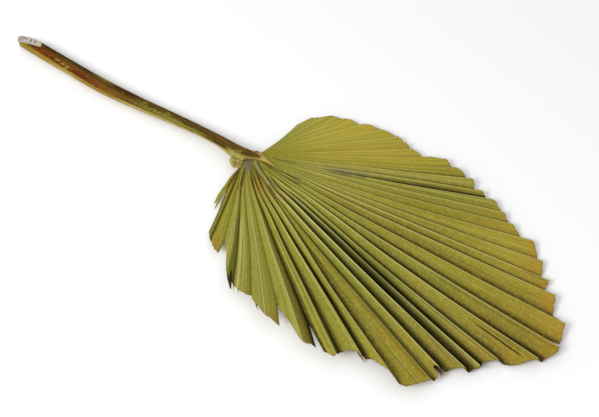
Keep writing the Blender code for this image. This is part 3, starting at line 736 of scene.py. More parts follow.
brown = patchwork(grid_x, grid_y, BROWN_PATCHES) + 0.7 * finish[..., 2]
tone = np.tile(np.array(rgb(136, 132, 26)[:3]), grid_x.shape + (1,))
tone = lerp(tone, rgb(144, 147, 68), finish[..., 0] + 0 * grid_x)
tone = lerp(tone, rgb(188, 165, 60), np.clip(ochre, 0, 1))
tone = lerp(tone, rgb(136, 90, 20), np.clip(brown, 0, 1))
far_face_green = finish[..., 0] * np.clip(np.stack(beyond_ribs), 0, 1)
tone = lerp(tone, rgb(156, 138, 28), 0.8 * far_face_green)
tone = lerp(tone, rgb(132, 80, 18), np.clip(np.stack(behind_rib), 0, 1))
# The brown fringe of the valleys' painted shade.
tone = lerp(tone, rgb(84, 46, 8), np.clip(np.stack(shade_fringe), 0, 1))
weathered = patchwork(grid_x, grid_y, WEATHERED_PATCHES)
tone = tone * (1.0 - weathered[..., None] * np.array([1.0, 1.0, 2.0]))
unmarked = tone
# Marks on it: a grey smudge, brown streaks along some valleys near the tip, stains at the cut ends,
# ochre and brown bands by the crest, and dark lines of painted shade: a fold through the smudge,
# the valleys' lines where they start by the crest, a shadow beside the valley at -27 degrees and one
# along the split at -38 degrees. Each: its path in degrees and millimetres from the crest, half
# width, colour, strength.
MARKS = [
    (((31.5, 62), (31.0, 74), (30.0, 90)), 2.6, (100, 92, 74), 0.7),
    # A fold's dark line through the smudge, painted shade.
    (((30.8, 66), (29.8, 80), (28.8, 92)), 1.2, (36, 28, 16), 0.9),
    (((31.5, 66), (32.5, 74)), 2.2, (92, 84, 76), 0.8),
    (((31.8, 78), (31.6, 92), (31.4, 106)), 1.9, (128, 122, 92), 0.75),
    (((30.6, 110), (30.2, 130)), 1.2, (120, 116, 84), 0.5),
    (((34.0, 60), (33.0, 74)), 3.0, (122, 114, 80), 0.5),
    # Painted shadow beside the valley at -27 degrees.
    (((-26.9, 104), (-27.0, 150), (-26.7, 212)), 2.2, (74, 48, 14), 0.75),
    # Brown streaks along valleys near the tip, pale lines, stains at the cut ends and small dark spots.
    (((-18.2, 222), (-18.1, 240)), 1.5, (70, 38, 18), 0.9),
    (((-18.6, 223), (-16.2, 231)), 0.8, (158, 112, 38), 0.9),
    (((-4.7, 222), (-4.6, 284)), 1.8, (104, 58, 14), 0.75),
    (((-9.25, 238), (-9.2, 262)), 1.6, (84, 44, 16), 0.9),
    (((-19.0, 205), (-14.4, 201)), 0.5, (150, 140, 70), 0.5),
    (((-76.2, 79), (-75.0, 88)), 1.6, (166, 106, 44), 0.9),
    (((-48.9, 140), (-47.6, 156)), 2.2, (160, 122, 44), 0.8),
    (((-46.8, 124), (-46.4, 136)), 0.9, (96, 62, 24), 0.8),
    (((2.3, 75.5), (3.2, 76.3)), 0.9, (74, 54, 14), 0.9),
    # A valley's dark line by the crest, painted shade.
    (((58, 17), (48, 20.5), (42, 28), (38, 33)), 0.8, (40, 40, 20), 0.9),
    # A dark spot at the foot of the split by -39 degrees.
    (((-39.4, 148), (-38.9, 160)), 1.6, (60, 30, 14), 0.9),
    # Painted shadow along the split's edge at -38 degrees.
    (((-38.4, 160), (-37.6, 189)), 1.0, (22, 14, 4), 0.95),
    # A brown streak along the valley at -18 degrees.
    (((-18.0, 224), (-17.9, 236)), 1.6, (80, 44, 26), 0.8),
    # The first valley's dark line near the crest, painted shade; then ochre and brown bands.
    (((-101, 29), (-95.5, 37), (-89.6, 48), (-85.6, 62)), 0.7, (74, 48, 14), 0.8),
    (((-66, 15), (-50, 23), (-38, 34)), 6.0, (152, 116, 46), 0.45),
    (((-108, 17), (-96, 26), (-90, 36)), 5.0, (150, 114, 42), 0.4),
    (((-30, 14), (-22, 28), (-17, 44)), 4.0, (150, 124, 44), 0.35),
    (((-126, 14), (-112, 17), (-102, 20)), 1.5, (146, 104, 34), 0.6),
    (((-120, 17), (-108, 24), (-101, 31), (-97, 37)), 1.2, (120, 82, 26), 0.6),
    (((-92, 12), (-84, 20), (-76, 32)), 0.8, (96, 60, 20), 0.6),
    (((-62, 9), (-48, 20), (-38, 34)), 1.6, (146, 100, 34), 0.6),
    (((-44, 8), (-33, 22), (-28, 42)), 1.2, (86, 50, 16), 0.7),
    (((-29, 14), (-26, 30), (-22, 46)), 1.0, (160, 122, 48), 0.5),
    (((-14, 10), (-9.5, 24), (-7, 40)), 2.6, (170, 160, 52), 0.85),
    (((-62, 11), (-45, 16), (-34, 24)), 3.0, (146, 116, 42), 0.5),
    # The valleys' dark lines where they start by the crest: painted shade.
    (((-138, 11.6), (-113.7, 16.9), (-99.6, 26.6)), 0.8, (58, 34, 14), 0.9),
    (((-111, 10.1), (-89.6, 17.4), (-84.1, 28)), 0.8, (50, 30, 12), 0.9),
    (((-112, 10.3), (-96, 14.8), (-81, 22.9)), 0.7, (46, 34, 14), 0.9),
    (((-99, 5.7), (-68, 14.8), (-58, 25)), 0.7, (58, 40, 14), 0.9),
    (((-89, 4.9), (-59, 14.4), (-48.5, 25)), 0.7, (56, 36, 12), 0.9),
    (((-88, 2.6), (-45, 11.4), (-38.5, 22.4)), 0.75, (56, 36, 12), 0.9),
    (((40, 1.5), (-28.3, 9.9), (-26.8, 21.6), (-26.8, 37.5)), 0.9, (50, 30, 10), 0.95),
    (((75, 2.8), (-14.1, 9.6), (-19.2, 21.6), (-15.7, 34.7)), 0.8, (24, 17, 7), 1.0),
    (((55, 6.5), (16.6, 13.1), (8.2, 25.1), (7.8, 42)), 0.8, (60, 44, 12), 0.9),
    (((33.6, 9.4), (16.7, 21.0), (13.8, 40.1)), 0.8, (36, 28, 8), 0.95),
    (((2, 9), (-3, 20), (-3, 38)), 0.7, (62, 50, 14), 0.8)]
# Two pale threads, with their paths along and across the leaf.
PALE_THREADS = [
    (((-1.4, 1.65), (5.1, -2.5), (9.3, -5.2), (14.0, -6.9), (19.6, -9.3), (22.0, -10.4)), 0.6,
     (190, 178, 150), 0.8),
    (((29.9, -13.4), (38.0, -18.6), (47.5, -25.6)), 0.6, (168, 134, 92), 0.7)]
placed_marks = [([polar(*spot) for spot in path], *look) for path, *look in MARKS]
for path, half, ink, strength in placed_marks + PALE_THREADS:
    tone = lerp(tone, rgb(*ink), strength * stroke(grid_x, grid_y, path, half))
# Grey scurf lies in faint rays round the crest.
scurf = np.clip(3.2 * patch(grid_x, grid_y, -4.7, -4.2, 6.2, 3.8, -52) - 0.5, 0, 1)
bearing = np.degrees(np.arctan2(grid_y - 3.0, grid_x + 5.5))
scurf = scurf * (0.76 + 0.24 * np.sin(0.6 * bearing))
tone = lerp(tone, rgb(94, 80, 90), np.clip(scurf, 0, 1))
# The valleys' painted shade and the fine lines show only faintly on the lower face.
for name in fields:
    beneath = 0.3 if name.startswith(("dark", "ink")) else 1.0
    layer = blade.data.attributes.new(name, "FLOAT", "CORNER")
    layer.data.foreach_set("value", on_corners(np.stack(fields[name]), beneath).astype(np.float32))
# The lower face has the tint without the marks.
tone = on_corners(np.clip(tone, 0, 1))
lower_face = slice(4 * len(quads), 8 * len(quads))
tone[lower_face] = on_corners(np.clip(unmarked, 0, 1))[lower_face]
write_colour(blade, tone, "CORNER")
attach(blade, "root")
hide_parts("blade")


# Shreds: slivers and threads of the leaf that the splits and the cut left hanging on its edge.
# Each is a thin strip of the same sheet, joined to the leaf at its root and dried to a thin tip.

# Each shred: angle and radius at its root, its middle and its tip, width, height of its root above
# the valleys, rise of its middle, and colour.
SHREDS = (
    (-103.4, 30, -99.6, 41, -95.8, 49.8, 3.2, 0.66, 0.0, (140, 138, 54)),
    (-100.6, 32, -96.3, 43.5, -91.6, 53.4, 2.7, 0.68, 0.0, (146, 144, 60)),
    # This wide, near-black shred is the near edge curled under, and its dark colour is painted shade.
    (-65.2, 102, -64.0, 112, -62.3, 123.0, 4.0, 1.0, 0.8, (42, 30, 12)),
    (-64.8, 108, -63.7, 116, -62.5, 123.5, 1.2, 0.8, 0.2, (132, 112, 40)),
    (-61.9, 116, -61.6, 121, -61.1, 125.0, 0.7, 1.0, 0.4, (110, 84, 34)),
    (-60.4, 119, -60.0, 122, -59.3, 125.5, 0.8, 1.0, 0.3, (96, 76, 30)),
    (-53.7, 130, -53.4, 136, -53.0, 141.0, 1.2, 1.0, 0.4, (74, 54, 22)),
    (-30.9, 192, -30.9, 198, -30.5, 202.0, 1.2, 1.0, 1.2, (124, 96, 42)),
    (-30.4, 194, -30.2, 199, -30.1, 202.5, 0.9, 1.0, 0.8, (138, 116, 58)),
    (-19.3, 226, -19.2, 232, -19.3, 238.0, 1.7, 1.4, 1.6, (104, 66, 30)),
    (-18.9, 228, -18.8, 233, -18.9, 238.0, 1.4, 1.2, 0.8, (78, 46, 22)),
    (8.7, 244, 8.75, 250, 8.8, 255.0, 2.2, 1.2, 0.6, (132, 126, 60)))
SHRED_STEPS = 12
SHRED_THICK = 0.3
per_line = SHRED_STEPS + 1
shred_points = []
shred_faces = []
shred_tint = []
for root_turn, root_at, mid_turn, mid_at, tip_turn, tip_at, wide, base, rise, ink in SHREDS:
    ends = np.array([polar(root_turn, root_at), polar(mid_turn, mid_at), polar(tip_turn, tip_at)])
    q = np.linspace(0.0, 1.0, per_line)[:, None]
    line = ends[0] * (1 - q) ** 2 + ends[1] * 2 * q * (1 - q) + ends[2] * q * q
    along = np.gradient(line, axis=0)
    left = np.stack((-along[:, 1], along[:, 0]), -1) / np.linalg.norm(along, axis=1)[:, None]
    half = 0.5 * wide * (1.0 - 0.88 * q ** 3)
    height = lift(line[:, 0], line[:, 1]) + base + rise * np.sin(np.pi * q[:, 0])
    first_point = len(shred_points)
    for side_way, drop in ((-1, 0.0), (1, 0.0), (1, SHRED_THICK), (-1, SHRED_THICK)):
        edge_line = line + side_way * left * half
        shred_points += np.column_stack((edge_line, height - drop)).tolist()
    for strip in range(4):
        here = first_point + per_line * strip
        there = first_point + per_line * ((strip + 1) % 4)
        shred_faces += [(there + k, there + k + 1, here + k + 1, here + k)
                        for k in range(SHRED_STEPS)]
    shred_faces.append(tuple(first_point + per_line * strip for strip in (3, 2, 1, 0)))
    shred_faces.append(tuple(first_point + per_line * strip + SHRED_STEPS for strip in range(4)))
    shred_tint += [rgb(*ink)[:3]] * (4 * per_line)
torn, tree, shader = new_material("torn_leaf", 0.6, 0.15)
tint = stored_tint(tree)
threads = noise(tree, own_place(tree), 700.0, 3.0, 0.6)
colour = laid_over(tree, tint, mix(tree, 0.6, tint, rgb(60, 44, 16)), threads, 0.3, 0.7, 0.5)
put(tree, shader.inputs["Base Color"], colour)
shreds = new_object("blade_shreds", shred_points, shred_faces, torn)
write_colour(shreds, np.array(shred_tint))
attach(shreds, "root")
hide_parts("blade")


# Stem: the leaf stalk, one stiff fibrous rod with a shallow channel along its top, thicker towards
# the cut. It grew in one with the leaf, and its hard skin is rust and olive in long bands.

# Its middle line: along, across and up.
STEM_PATH = np.array((
    (-277.0, -2.0, 5.2), (-254.0, -2.4, 5.2), (-210.0, -3.1, 5.2), (-166.0, -3.7, 5.3),
    (-126.0, -1.6, 5.6), (-88.0, 1.7, 6.3), (-50.0, 3.3, 8.0), (-37.0, 2.9, 8.8), (-30.0, 2.2, 9.1),
    (-22.0, 1.4, 9.4), (-14.0, 1.8, 9.9), (-10.2, 2.6, 10.3), (-6.0, 4.0, 11.5), (1.0, 5.9, 13.2)))
# Place along, then width and height there as shares of the two sizes below.
STEM_SIZE = np.array((
    (-277.0, 1.28, 1.28), (-240.0, 1.36, 1.36), (-165.0, 1.36, 1.36), (-140.0, 1.27, 1.27),
    (-111.0, 1.14, 1.14), (-80.0, 1.0, 1.0), (-59.0, 0.93, 0.93), (-40.0, 0.98, 0.93),
    (-30.0, 1.15, 0.95), (-20.0, 1.34, 1.0), (-14.0, 1.30, 1.0), (-10.2, 1.20, 0.95),
    (-7.0, 0.8, 0.8), (-2.0, 0.42, 0.42), (1.0, 0.12, 0.12)))
# How far the slanting cut reaches in from the end, by degrees round the stem from its far side.
CUT = np.array((
    (0, 18.0), (15, 26.0), (30, 31.0), (45, 33.0), (60, 34.5), (75, 35.7), (90, 36.3), (105, 30.7),
    (120, 25.5), (135, 20.0), (150, 15.2), (180, 15.0), (210, 14.3), (225, 12.0), (240, 10.5),
    (255, 8.0), (270, 5.0), (285, 3.5), (300, 2.5), (315, 3.0), (330, 7.0), (345, 12.0), (360, 18.0)))
# Colours of the skin.
SKIN = {"dark": (62, 40, 7), "brown": (84, 62, 16), "umber": (106, 76, 22), "rust": (116, 58, 9),
        "red": (98, 42, 8), "ochre": (142, 118, 40), "olive": (114, 102, 30),
        "moss": (128, 123, 50), "shade": (72, 70, 16), "straw": (166, 150, 82),
        "green": (162, 152, 78)}
# Bands round the stem at places along it: degrees from the far side, and the skin's colour there.
BANDS = (
    (-262, ((60, "dark"), (85, "umber"), (105, "red"), (122, "olive"), (175, "ochre"))),
    (-246, ((60, "dark"), (82, "brown"), (92, "red"), (130, "red"), (140, "olive"), (155, "ochre"))),
    (-232, ((60, "dark"), (80, "dark"), (92, "rust"), (138, "rust"), (150, "ochre"), (175, "ochre"))),
    (-205, ((60, "dark"), (80, "brown"), (92, "umber"), (105, "rust"), (120, "red"), (146, "red"),
            (156, "ochre"), (175, "straw"))),
    (-182, ((60, "dark"), (78, "dark"), (88, "umber"), (105, "red"), (145, "red"), (158, "ochre"))),
    (-165, ((60, "olive"), (72, "olive"), (82, "dark"), (92, "umber"), (150, "rust"), (165, "ochre"))),
    (-150, ((60, "dark"), (84, "dark"), (95, "umber"), (155, "umber"), (170, "ochre"))),
    (-132, ((60, "dark"), (85, "dark"), (95, "umber"), (140, "umber"), (152, "dark"), (164, "straw"))),
    (-116, ((60, "brown"), (84, "brown"), (100, "olive"), (118, "moss"), (134, "olive"),
            (146, "shade"), (155, "olive"), (167, "straw"))),
    (-92, ((60, "brown"), (85, "brown"), (100, "olive"), (112, "moss"), (147, "moss"),
           (153, "shade"), (160, "moss"), (172, "straw"))),
    (-76, ((60, "dark"), (70, "brown"), (118, "brown"), (130, "moss"), (146, "moss"),
           (162, "shade"), (175, "straw"))),
    (-58, ((60, "brown"), (118, "brown"), (130, "olive"), (150, "olive"), (160, "shade"), (176, "straw"))),
    (-40, ((60, "brown"), (80, "umber"), (125, "brown"), (142, "dark"), (164, "dark"), (182, "straw"))),
    (-30, ((60, "brown"), (95, "umber"), (118, "brown"), (132, "shade"), (148, "dark"), (164, "straw"))),
    (-23, ((60, "umber"), (74, "brown"), (96, "brown"), (110, "moss"), (128, "green"), (150, "straw"))),
    (-17, ((60, "umber"), (80, "brown"), (88, "moss"), (110, "moss"), (135, "green"), (155, "straw"))),
    (-13, ((60, "umber"), (80, "brown"), (104, "brown"), (116, "moss"), (145, "green"), (160, "straw"))),
    (-10, ((60, "brown"), (116, "brown"), (128, "moss"), (150, "green"), (160, "straw"))),
    (-7, ((60, "brown"), (138, "brown"), (150, "olive"), (162, "straw"))),
    (-2, ((60, "umber"), (148, "brown"), (160, "olive"), (172, "straw"))),
    (4, ((60, "brown"), (180, "brown"))))
# Ochre flecks, orange dots and dark pits along the near side: place along, degrees round, half
# sizes of each.
FLECKS = ((-216, 114, 2.6, 9), (-209, 122, 2.0, 15), (-203, 132, 2.3, 19), (-198, 118, 0.7, 5),
          (-181, 108, 0.9, 4))
DOTS = ((-241, 112, 0.8, 6), (-236, 113, 0.8, 6), (-231, 113, 0.7, 5), (-226, 114, 0.9, 6),
        (-195, 110, 0.6, 4), (-150, 120, 1.0, 6), (-62, 112, 0.6, 4), (-47, 106, 0.6, 4),
        (-20, 104, 0.6, 4), (-15, 112, 0.6, 4))
PITS = ((-231.4, 125, 1.1, 9), (-227.8, 127, 1.2, 9), (-222.2, 131, 1.4, 12), (-215, 134, 1.6, 11),
        (-208.6, 139, 1.5, 11), (-201.8, 141, 1.3, 11), (-199.3, 143, 1.1, 9), (-190, 145, 1.7, 9),
        (-185.9, 147, 1.4, 9), (-180.3, 148, 1.8, 9), (-175, 149, 1.2, 8), (-167.1, 150, 1.4, 8),
        (-144.2, 146, 1.0, 8), (-139, 143, 0.8, 8), (-133, 148, 2.0, 8), (-48, 150, 3.0, 6),
        (-13.5, 96, 1.2, 6), (-9.5, 106, 1.0, 6), (-10.5, 92, 0.7, 4))


def drift(u, v, seed):
    """Smooth random field from -1 to 1: random values on whole (u, v), eased between them."""
    lattice = np.random.default_rng(seed).random((256, 256)) * 2 - 1
    i = np.floor(u).astype(int)
    j = np.floor(v).astype(int)
    f = u - i
    g = v - j
    f = f * f * (3 - 2 * f)
    g = g * g * (3 - 2 * g)
    corner = [lattice[(i + a) % 256, (j + b) % 256] for a in (0, 1) for b in (0, 1)]
    return (corner[0] * (1 - f) * (1 - g) + corner[1] * (1 - f) * g
            + corner[2] * f * (1 - g) + corner[3] * f * g)


def spots(run, turn, table):
    """Soft spots on a sweep: the greatest of exp(-(du/half)^4 - (dv/half)^4) over the table."""
    shown = np.zeros(run.shape)
    for at, round_at, long, wide in table:
        spot = np.exp(-((run - at) / long) ** 4 - ((turn - round_at) / wide) ** 4)
        shown = np.maximum(shown, spot)
    return shown


def tube(grid, cap_start, cap_end):
    """Faces of a closed sweep from a grid of rings, with fans to the two numbered cap points."""
    ring_count, sides = grid
    ring, side = np.meshgrid(np.arange(ring_count - 1), np.arange(sides), indexing="ij")
    after = (side + 1) % sides
    body = np.stack((ring * sides + side, ring * sides + after, (ring + 1) * sides + after,
                     (ring + 1) * sides + side), -1).reshape(-1, 4)
    around = np.arange(sides)
    beyond = (around + 1) % sides
    last = (ring_count - 1) * sides
    faces = [tuple(face) for face in body.tolist()]
    faces += [(cap_start, int(q), int(p)) for p, q in zip(around, beyond)]
    faces += [(cap_end, last + int(p), last + int(q)) for p, q in zip(around, beyond)]
    return faces


STEM_WIDTH = 9.6
STEM_HEIGHT = 8.8
CHANNEL_DEPTH = 0.9
CUT_AT = -277.0
CUT_LENGTH = 48.0
STEM_END = 1.0
# From here on the stem lies on the leaf, and its underside stays above the height given.
ON_LEAF_FROM = -10.2
ON_LEAF_HEIGHT = 12.0
sides = 84
stations = np.concatenate((np.linspace(CUT_AT, -30.0, 380), np.linspace(-29.5, STEM_END, 60)))
turns = 2.0 * np.pi * np.arange(sides) / sides
lengthways, roundways = np.meshgrid(stations, turns, indexing="ij")
degrees = np.degrees(roundways)
outward = np.cos(roundways)
upward = np.sin(roundways)
across = 0.5 * STEM_WIDTH * np.sign(outward) * np.abs(outward) ** 0.85
up = np.where(upward > 0, np.abs(upward) ** 0.8, -np.abs(upward)) * 0.5 * STEM_HEIGHT
channel = CHANNEL_DEPTH * np.exp(-((across / (0.22 * STEM_WIDTH)) ** 2))
up = up - np.where(upward > 0, channel, 0.0)
ribbing = (0.07 * drift(degrees / 9.0, lengthways / 46.0, 11)
           + 0.05 * drift(degrees / 14.0, lengthways / 3.2, 12))
swelling = 0.985 + 0.3 * ribbing * np.clip((2.0 - lengthways) / 8.0, 0, 1)
wide = np.interp(lengthways, STEM_SIZE[:, 0], STEM_SIZE[:, 1]) * swelling
high = np.interp(lengthways, STEM_SIZE[:, 0], STEM_SIZE[:, 2]) * swelling
y = through(lengthways, STEM_PATH[:, 0], STEM_PATH[:, 1]) + across * wide
z = np.clip(through(lengthways, STEM_PATH[:, 0], STEM_PATH[:, 2]) + up * high, 0.02, None)
near_cut = np.clip(1.0 - (lengthways - CUT_AT) / CUT_LENGTH, 0.0, 1.0)
x = lengthways + np.interp(degrees, CUT[:, 0], CUT[:, 1]) * near_cut
z = np.where(lengthways >= ON_LEAF_FROM, np.maximum(z, ON_LEAF_HEIGHT), z)
rim_points = np.stack((x, y, z), -1).reshape(-1, 3)
cap_points = [rim_points[:sides].mean(0), rim_points[-sides:].mean(0)]
stem_points = np.concatenate((rim_points, cap_points))
# The fan over the cut is left out, because the cut end fills it.
stem_faces = tube((len(stations), sides), len(rim_points), len(rim_points) + 1)
stem_faces = stem_faces[:-2 * sides] + stem_faces[-sides:]

# Skin colour: the bands' stops are read round the stem, then blended between places along it.
jitter = 6.0 * drift(x / 2.3, degrees / 30.0, 21) + 5.0 * drift(x / 1.1, degrees / 12.0, 22)
jitter = jitter * np.interp(x, (-200, -150, -120, -20), (0.4, 1.0, 2.6, 1.4))
jitter = jitter * np.interp(degrees, (128.0, 146.0), (1.0, 0.25))
read_at = degrees + jitter
by_place = []
for place_at, stops in BANDS:
    shades = np.array([rgb(*SKIN[name])[:3] for turn_at, name in stops])
    marks = [turn_at for turn_at, name in stops]
    by_place.append(np.stack([np.interp(read_at, marks, shades[:, k]) for k in range(3)], -1))
places = np.array([row[0] for row in BANDS], float)
slot_at = np.clip(np.searchsorted(places, x) - 1, 0, len(places) - 2)
blend = np.clip((x - places[slot_at]) / (places[slot_at + 1] - places[slot_at]), 0, 1)
stacked = np.stack(by_place)
row_at, column_at = np.indices(x.shape)
skin = (stacked[slot_at, row_at, column_at] * (1 - blend[..., None])
        + stacked[slot_at + 1, row_at, column_at] * blend[..., None])
# Old leaf-scale lines cross the near side in shallow arcs, about five millimetres apart.
ARC_GAP = 5.1
bowed = x + 3.5 * ((degrees - 120.0) / 25.0) ** 2 + 1.2 * drift(x / 9.0, degrees / 40.0, 23)
arc = np.abs((bowed / ARC_GAP) % 1.0 - 0.5) * 2.0
arcs = np.clip((arc - 0.62) / 0.3, 0, 1) * np.exp(-((degrees - 120.0) / 22.0) ** 4)
arcs = arcs * np.interp(x, (-250, -240, -215, -208, -140, -125, -90, -72),
                        (0, 0.7, 0.7, 0.1, 0.25, 0.8, 0.7, 0))
skin = lerp(skin, rgb(62, 40, 10), 0.6 * arcs)
skin = lerp(skin, rgb(158, 138, 58), 0.85 * spots(x, degrees, FLECKS))
skin = lerp(skin, rgb(150, 88, 32), 0.7 * spots(x, degrees, DOTS))
skin = lerp(skin, rgb(66, 26, 3), 0.95 * spots(x, degrees, PITS))
streaks = drift(degrees / 4.0, x / 30.0, 24) * 0.6 + drift(degrees / 1.8, x / 14.0, 25) * 0.4
speckle = drift(x / 1.3, degrees / 8.0, 26)
skin = skin * (1.0 + 0.28 * streaks[..., None]) * (1.0 + 0.16 * speckle[..., None])
# The underside is plain straw brown.
hidden = np.clip((degrees - 200.0) / 25.0, 0, 1) * np.clip((395.0 - degrees) / 30.0, 0, 1)
under_side = rgb(134, 116, 54)[:3] * (1.0 + 0.2 * streaks[..., None])
skin = skin + (under_side - skin) * hidden[..., None]
skin = np.clip(skin.reshape(-1, 3), 0.0, 1.0)

bark, tree, shader = new_material("stem_skin", 0.6, 0.06)
tint = stored_tint(tree)
place = own_place(tree)
long_way = node(tree, "ShaderNodeMapping")
long_way.inputs["Scale"].default_value = (60.0, 900.0, 900.0)
put(tree, long_way.inputs["Vector"], place)
fibre = noise(tree, long_way.outputs["Vector"], 1.0, 4.0, 0.6)
pores = noise(tree, place, 1100.0, 2.0, 0.6)
colour = laid_over(tree, tint, mix(tree, 0.5, tint, rgb(40, 26, 8)), fibre, 0.25, 0.75, 0.30)
colour = laid_over(tree, colour, rgb(176, 150, 84), pores, 0.55, 0.8, 0.25)
put(tree, shader.inputs["Base Color"], colour)
pitted = bump(tree, pores, 0.15, 0.0003)
put(tree, shader.inputs["Normal"], bump(tree, fibre, 0.35, 0.0005, pitted))
stem = new_object("stem_stalk", stem_points, stem_faces, bark)
write_colour(stem, np.concatenate((skin, skin[:1], skin[-1:])))
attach(stem, "root")
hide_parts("stem")


# Cut end: the pale pith of the stem, laid bare by the slanting cut. It is soft and stringy, with
# dark ends of vessels in it and a cream lip all round where the harder skin was cut through.

# Each vessel: along, across, half length and half width. All stand askew by the same angle.
VESSELS = ((-270.6, 0.4, 2.2, 0.7), (-268.2, 1.2, 2.8, 0.8), (-266.4, 2.6, 1.3, 1.0),
           (-263.3, 1.4, 1.2, 1.0), (-257.8, 2.2, 1.5, 1.1), (-256.8, 0.9, 1.4, 0.9),
           (-252.4, 2.3, 1.1, 1.0), (-250.6, 1.0, 1.3, 0.9), (-262.0, -2.6, 0.6, 0.5),
           (-272.6, -0.6, 1.7, 0.5))
VESSEL_TURN = 125.0
STRING_RELIEF = 0.16
VESSEL_DEPTH = 0.35
PLUG_DEPTH = 1.2
# The cut face is rings of points drawn in from the stem's rim to a last point at the middle.
shells = 14
outline = rim_points[:sides]
centre = outline.mean(0)
share = (1.0 - np.arange(shells + 1) / shells)[:-1]
share[0] = 1.0
pith = centre + share[:, None, None] * (outline - centre)[None]
strings = (drift(pith[..., 1] * 1.6, pith[..., 0] * 0.12, 31)
           + 0.6 * drift(pith[..., 1] * 3.1, pith[..., 0] * 0.3, 32))
lowered = np.zeros(pith.shape[:2])
for vessel in VESSELS:
    lowered = np.maximum(lowered, patch(pith[..., 0], pith[..., 1], *vessel, VESSEL_TURN))
relief = STRING_RELIEF * strings - VESSEL_DEPTH * lowered
pith[1:, :, 2] += relief[1:] * np.clip(3.0 * (1.0 - share[1:]), 0, 1)[:, None]
pith[..., 2] = np.clip(pith[..., 2], 0.05, None)
inner_points = np.concatenate((pith.reshape(-1, 3), [pith[-1].mean(0)]))
ring, side = np.meshgrid(np.arange(shells - 1), np.arange(sides), indexing="ij")
after = (side + 1) % sides
cut_faces = np.stack((ring * sides + after, ring * sides + side, (ring + 1) * sides + side,
                      (ring + 1) * sides + after), -1).reshape(-1, 4).tolist()
tip_at = len(inner_points) - 1
last_ring = (shells - 1) * sides
cut_faces += [(tip_at, last_ring + (k + 1) % sides, last_ring + k) for k in range(sides)]
# The plug's hidden back lies further in and is a little narrower than its face.
back = inner_points.copy()
back[:, 0] += PLUG_DEPTH
back[:, :2] = centre[:2] + (back[:, :2] - centre[:2]) * np.array([0.97, 0.9])
stem_level = STEM_PATH[0, 2]
back[:, 2] = np.clip(stem_level + (back[:, 2] - stem_level) * 0.9, 0.1, None)
plug_count = len(inner_points)
cut_back = [tuple(index + plug_count for index in face[::-1]) for face in cut_faces]
joint = [(k, (k + 1) % sides, (k + 1) % sides + plug_count, k + plug_count)
         for k in range(sides)]
marrow, tree, shader = new_material("stem_pith", 0.85, 0.15)
tint = stored_tint(tree)
place = own_place(tree)
crumb = noise(tree, place, 1500.0, 3.0, 0.7)
colour = laid_over(tree, tint, rgb(150, 140, 122), crumb, 0.3, 0.75, 0.35)
put(tree, shader.inputs["Base Color"], colour)
put(tree, shader.inputs["Normal"], bump(tree, crumb, 0.5, 0.0005))
plug_points = np.concatenate((inner_points, back))
cut_end = new_object("stem_cut_end", plug_points, cut_faces + cut_back + joint, marrow)
shade_of = np.tile(np.array(rgb(196, 190, 176)[:3]), (shells, sides, 1))
shade_of = shade_of * (1.0 + 0.14 * strings[..., None])
bright_rim = (np.degrees(turns) > 85) & (np.degrees(turns) < 300)
lip = np.exp(-((1.0 - share) / 0.10) ** 2)[:, None] * np.where(bright_rim, 1.0, 0.25)[None]
shade_of = lerp(shade_of, rgb(206, 190, 140), np.clip(lip, 0, 1))
olive_end = np.exp(-((pith[..., 0] + 242.0) / 4.5) ** 2)
shade_of = lerp(shade_of, rgb(176, 170, 116), 0.85 * olive_end)
shade_of = lerp(shade_of, rgb(74, 62, 50), 0.95 * np.clip(1.3 * lowered, 0, 1))
grey_tip = np.exp(-((pith[..., 0] + 272.0) / 5.0) ** 2)
shade_of = lerp(shade_of, rgb(150, 142, 126), 0.6 * grey_tip)
flat = np.clip(np.concatenate((shade_of.reshape(-1, 3), [shade_of[-1].mean(0)])), 0, 1)
write_colour(cut_end, np.concatenate((flat, flat)))
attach(cut_end, "root")
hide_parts("stem")


# Hastula: the low straw-coloured collar where stalk and blade meet. It is a tough flap that
# covers the starts of all the pleats, edged with a thin rust rim on the near side.

# Near rim, then far edge: along, across and up, from the knob round to the collar's point.
NEAR_RIM = np.array((
    (-13.4, -7.0, 9.2), (-11.6, -5.0, 10.2), (-10.1, -3.1, 10.8), (-7.7, -0.4, 11.1),
    (-4.2, 1.6, 11.1), (-0.6, 3.6, 10.9), (3.2, 5.0, 10.5), (6.6, 5.7, 10.1), (9.8, 6.1, 9.9),
    (13.0, 6.7, 9.6), (15.8, 7.3, 9.4)))
FAR_EDGE = np.array((
    (-13.2, 7.0, 10.2), (-11.9, 8.8, 9.9), (-9.7, 10.1, 9.8), (-6.8, 11.8, 9.7),
    (-3.5, 12.8, 9.6), (-0.4, 12.3, 9.6), (3.2, 11.0, 9.6), (6.6, 9.8, 9.6), (9.9, 8.8, 9.6),
    (13.2, 8.1, 9.5), (16.2, 7.6, 9.4)))
COLLAR_THICK = 0.7
COLLAR_HEIGHT = 12.4
HOLLOW_BELOW = 1.6
along_count = 96
across_count = 30
along = np.linspace(0.0, 1.0, along_count)
over = np.linspace(0.0, 1.0, across_count)
knots = np.linspace(0.0, 1.0, len(NEAR_RIM))
near_line = np.stack([np.interp(along, knots, NEAR_RIM[:, k]) for k in range(3)], -1)
far_line = np.stack([np.interp(along, knots, FAR_EDGE[:, k]) for k in range(3)], -1)
# Both edges are smoothed by a rounded window over thirteen of their points.
kernel = np.hanning(15)[1:-1]
kernel = kernel / kernel.sum()
for line in (near_line, far_line):
    for k in range(3):
        padded = np.pad(line[:, k], 6, mode="reflect", reflect_type="odd")
        line[:, k] = np.convolve(padded, kernel, "valid")
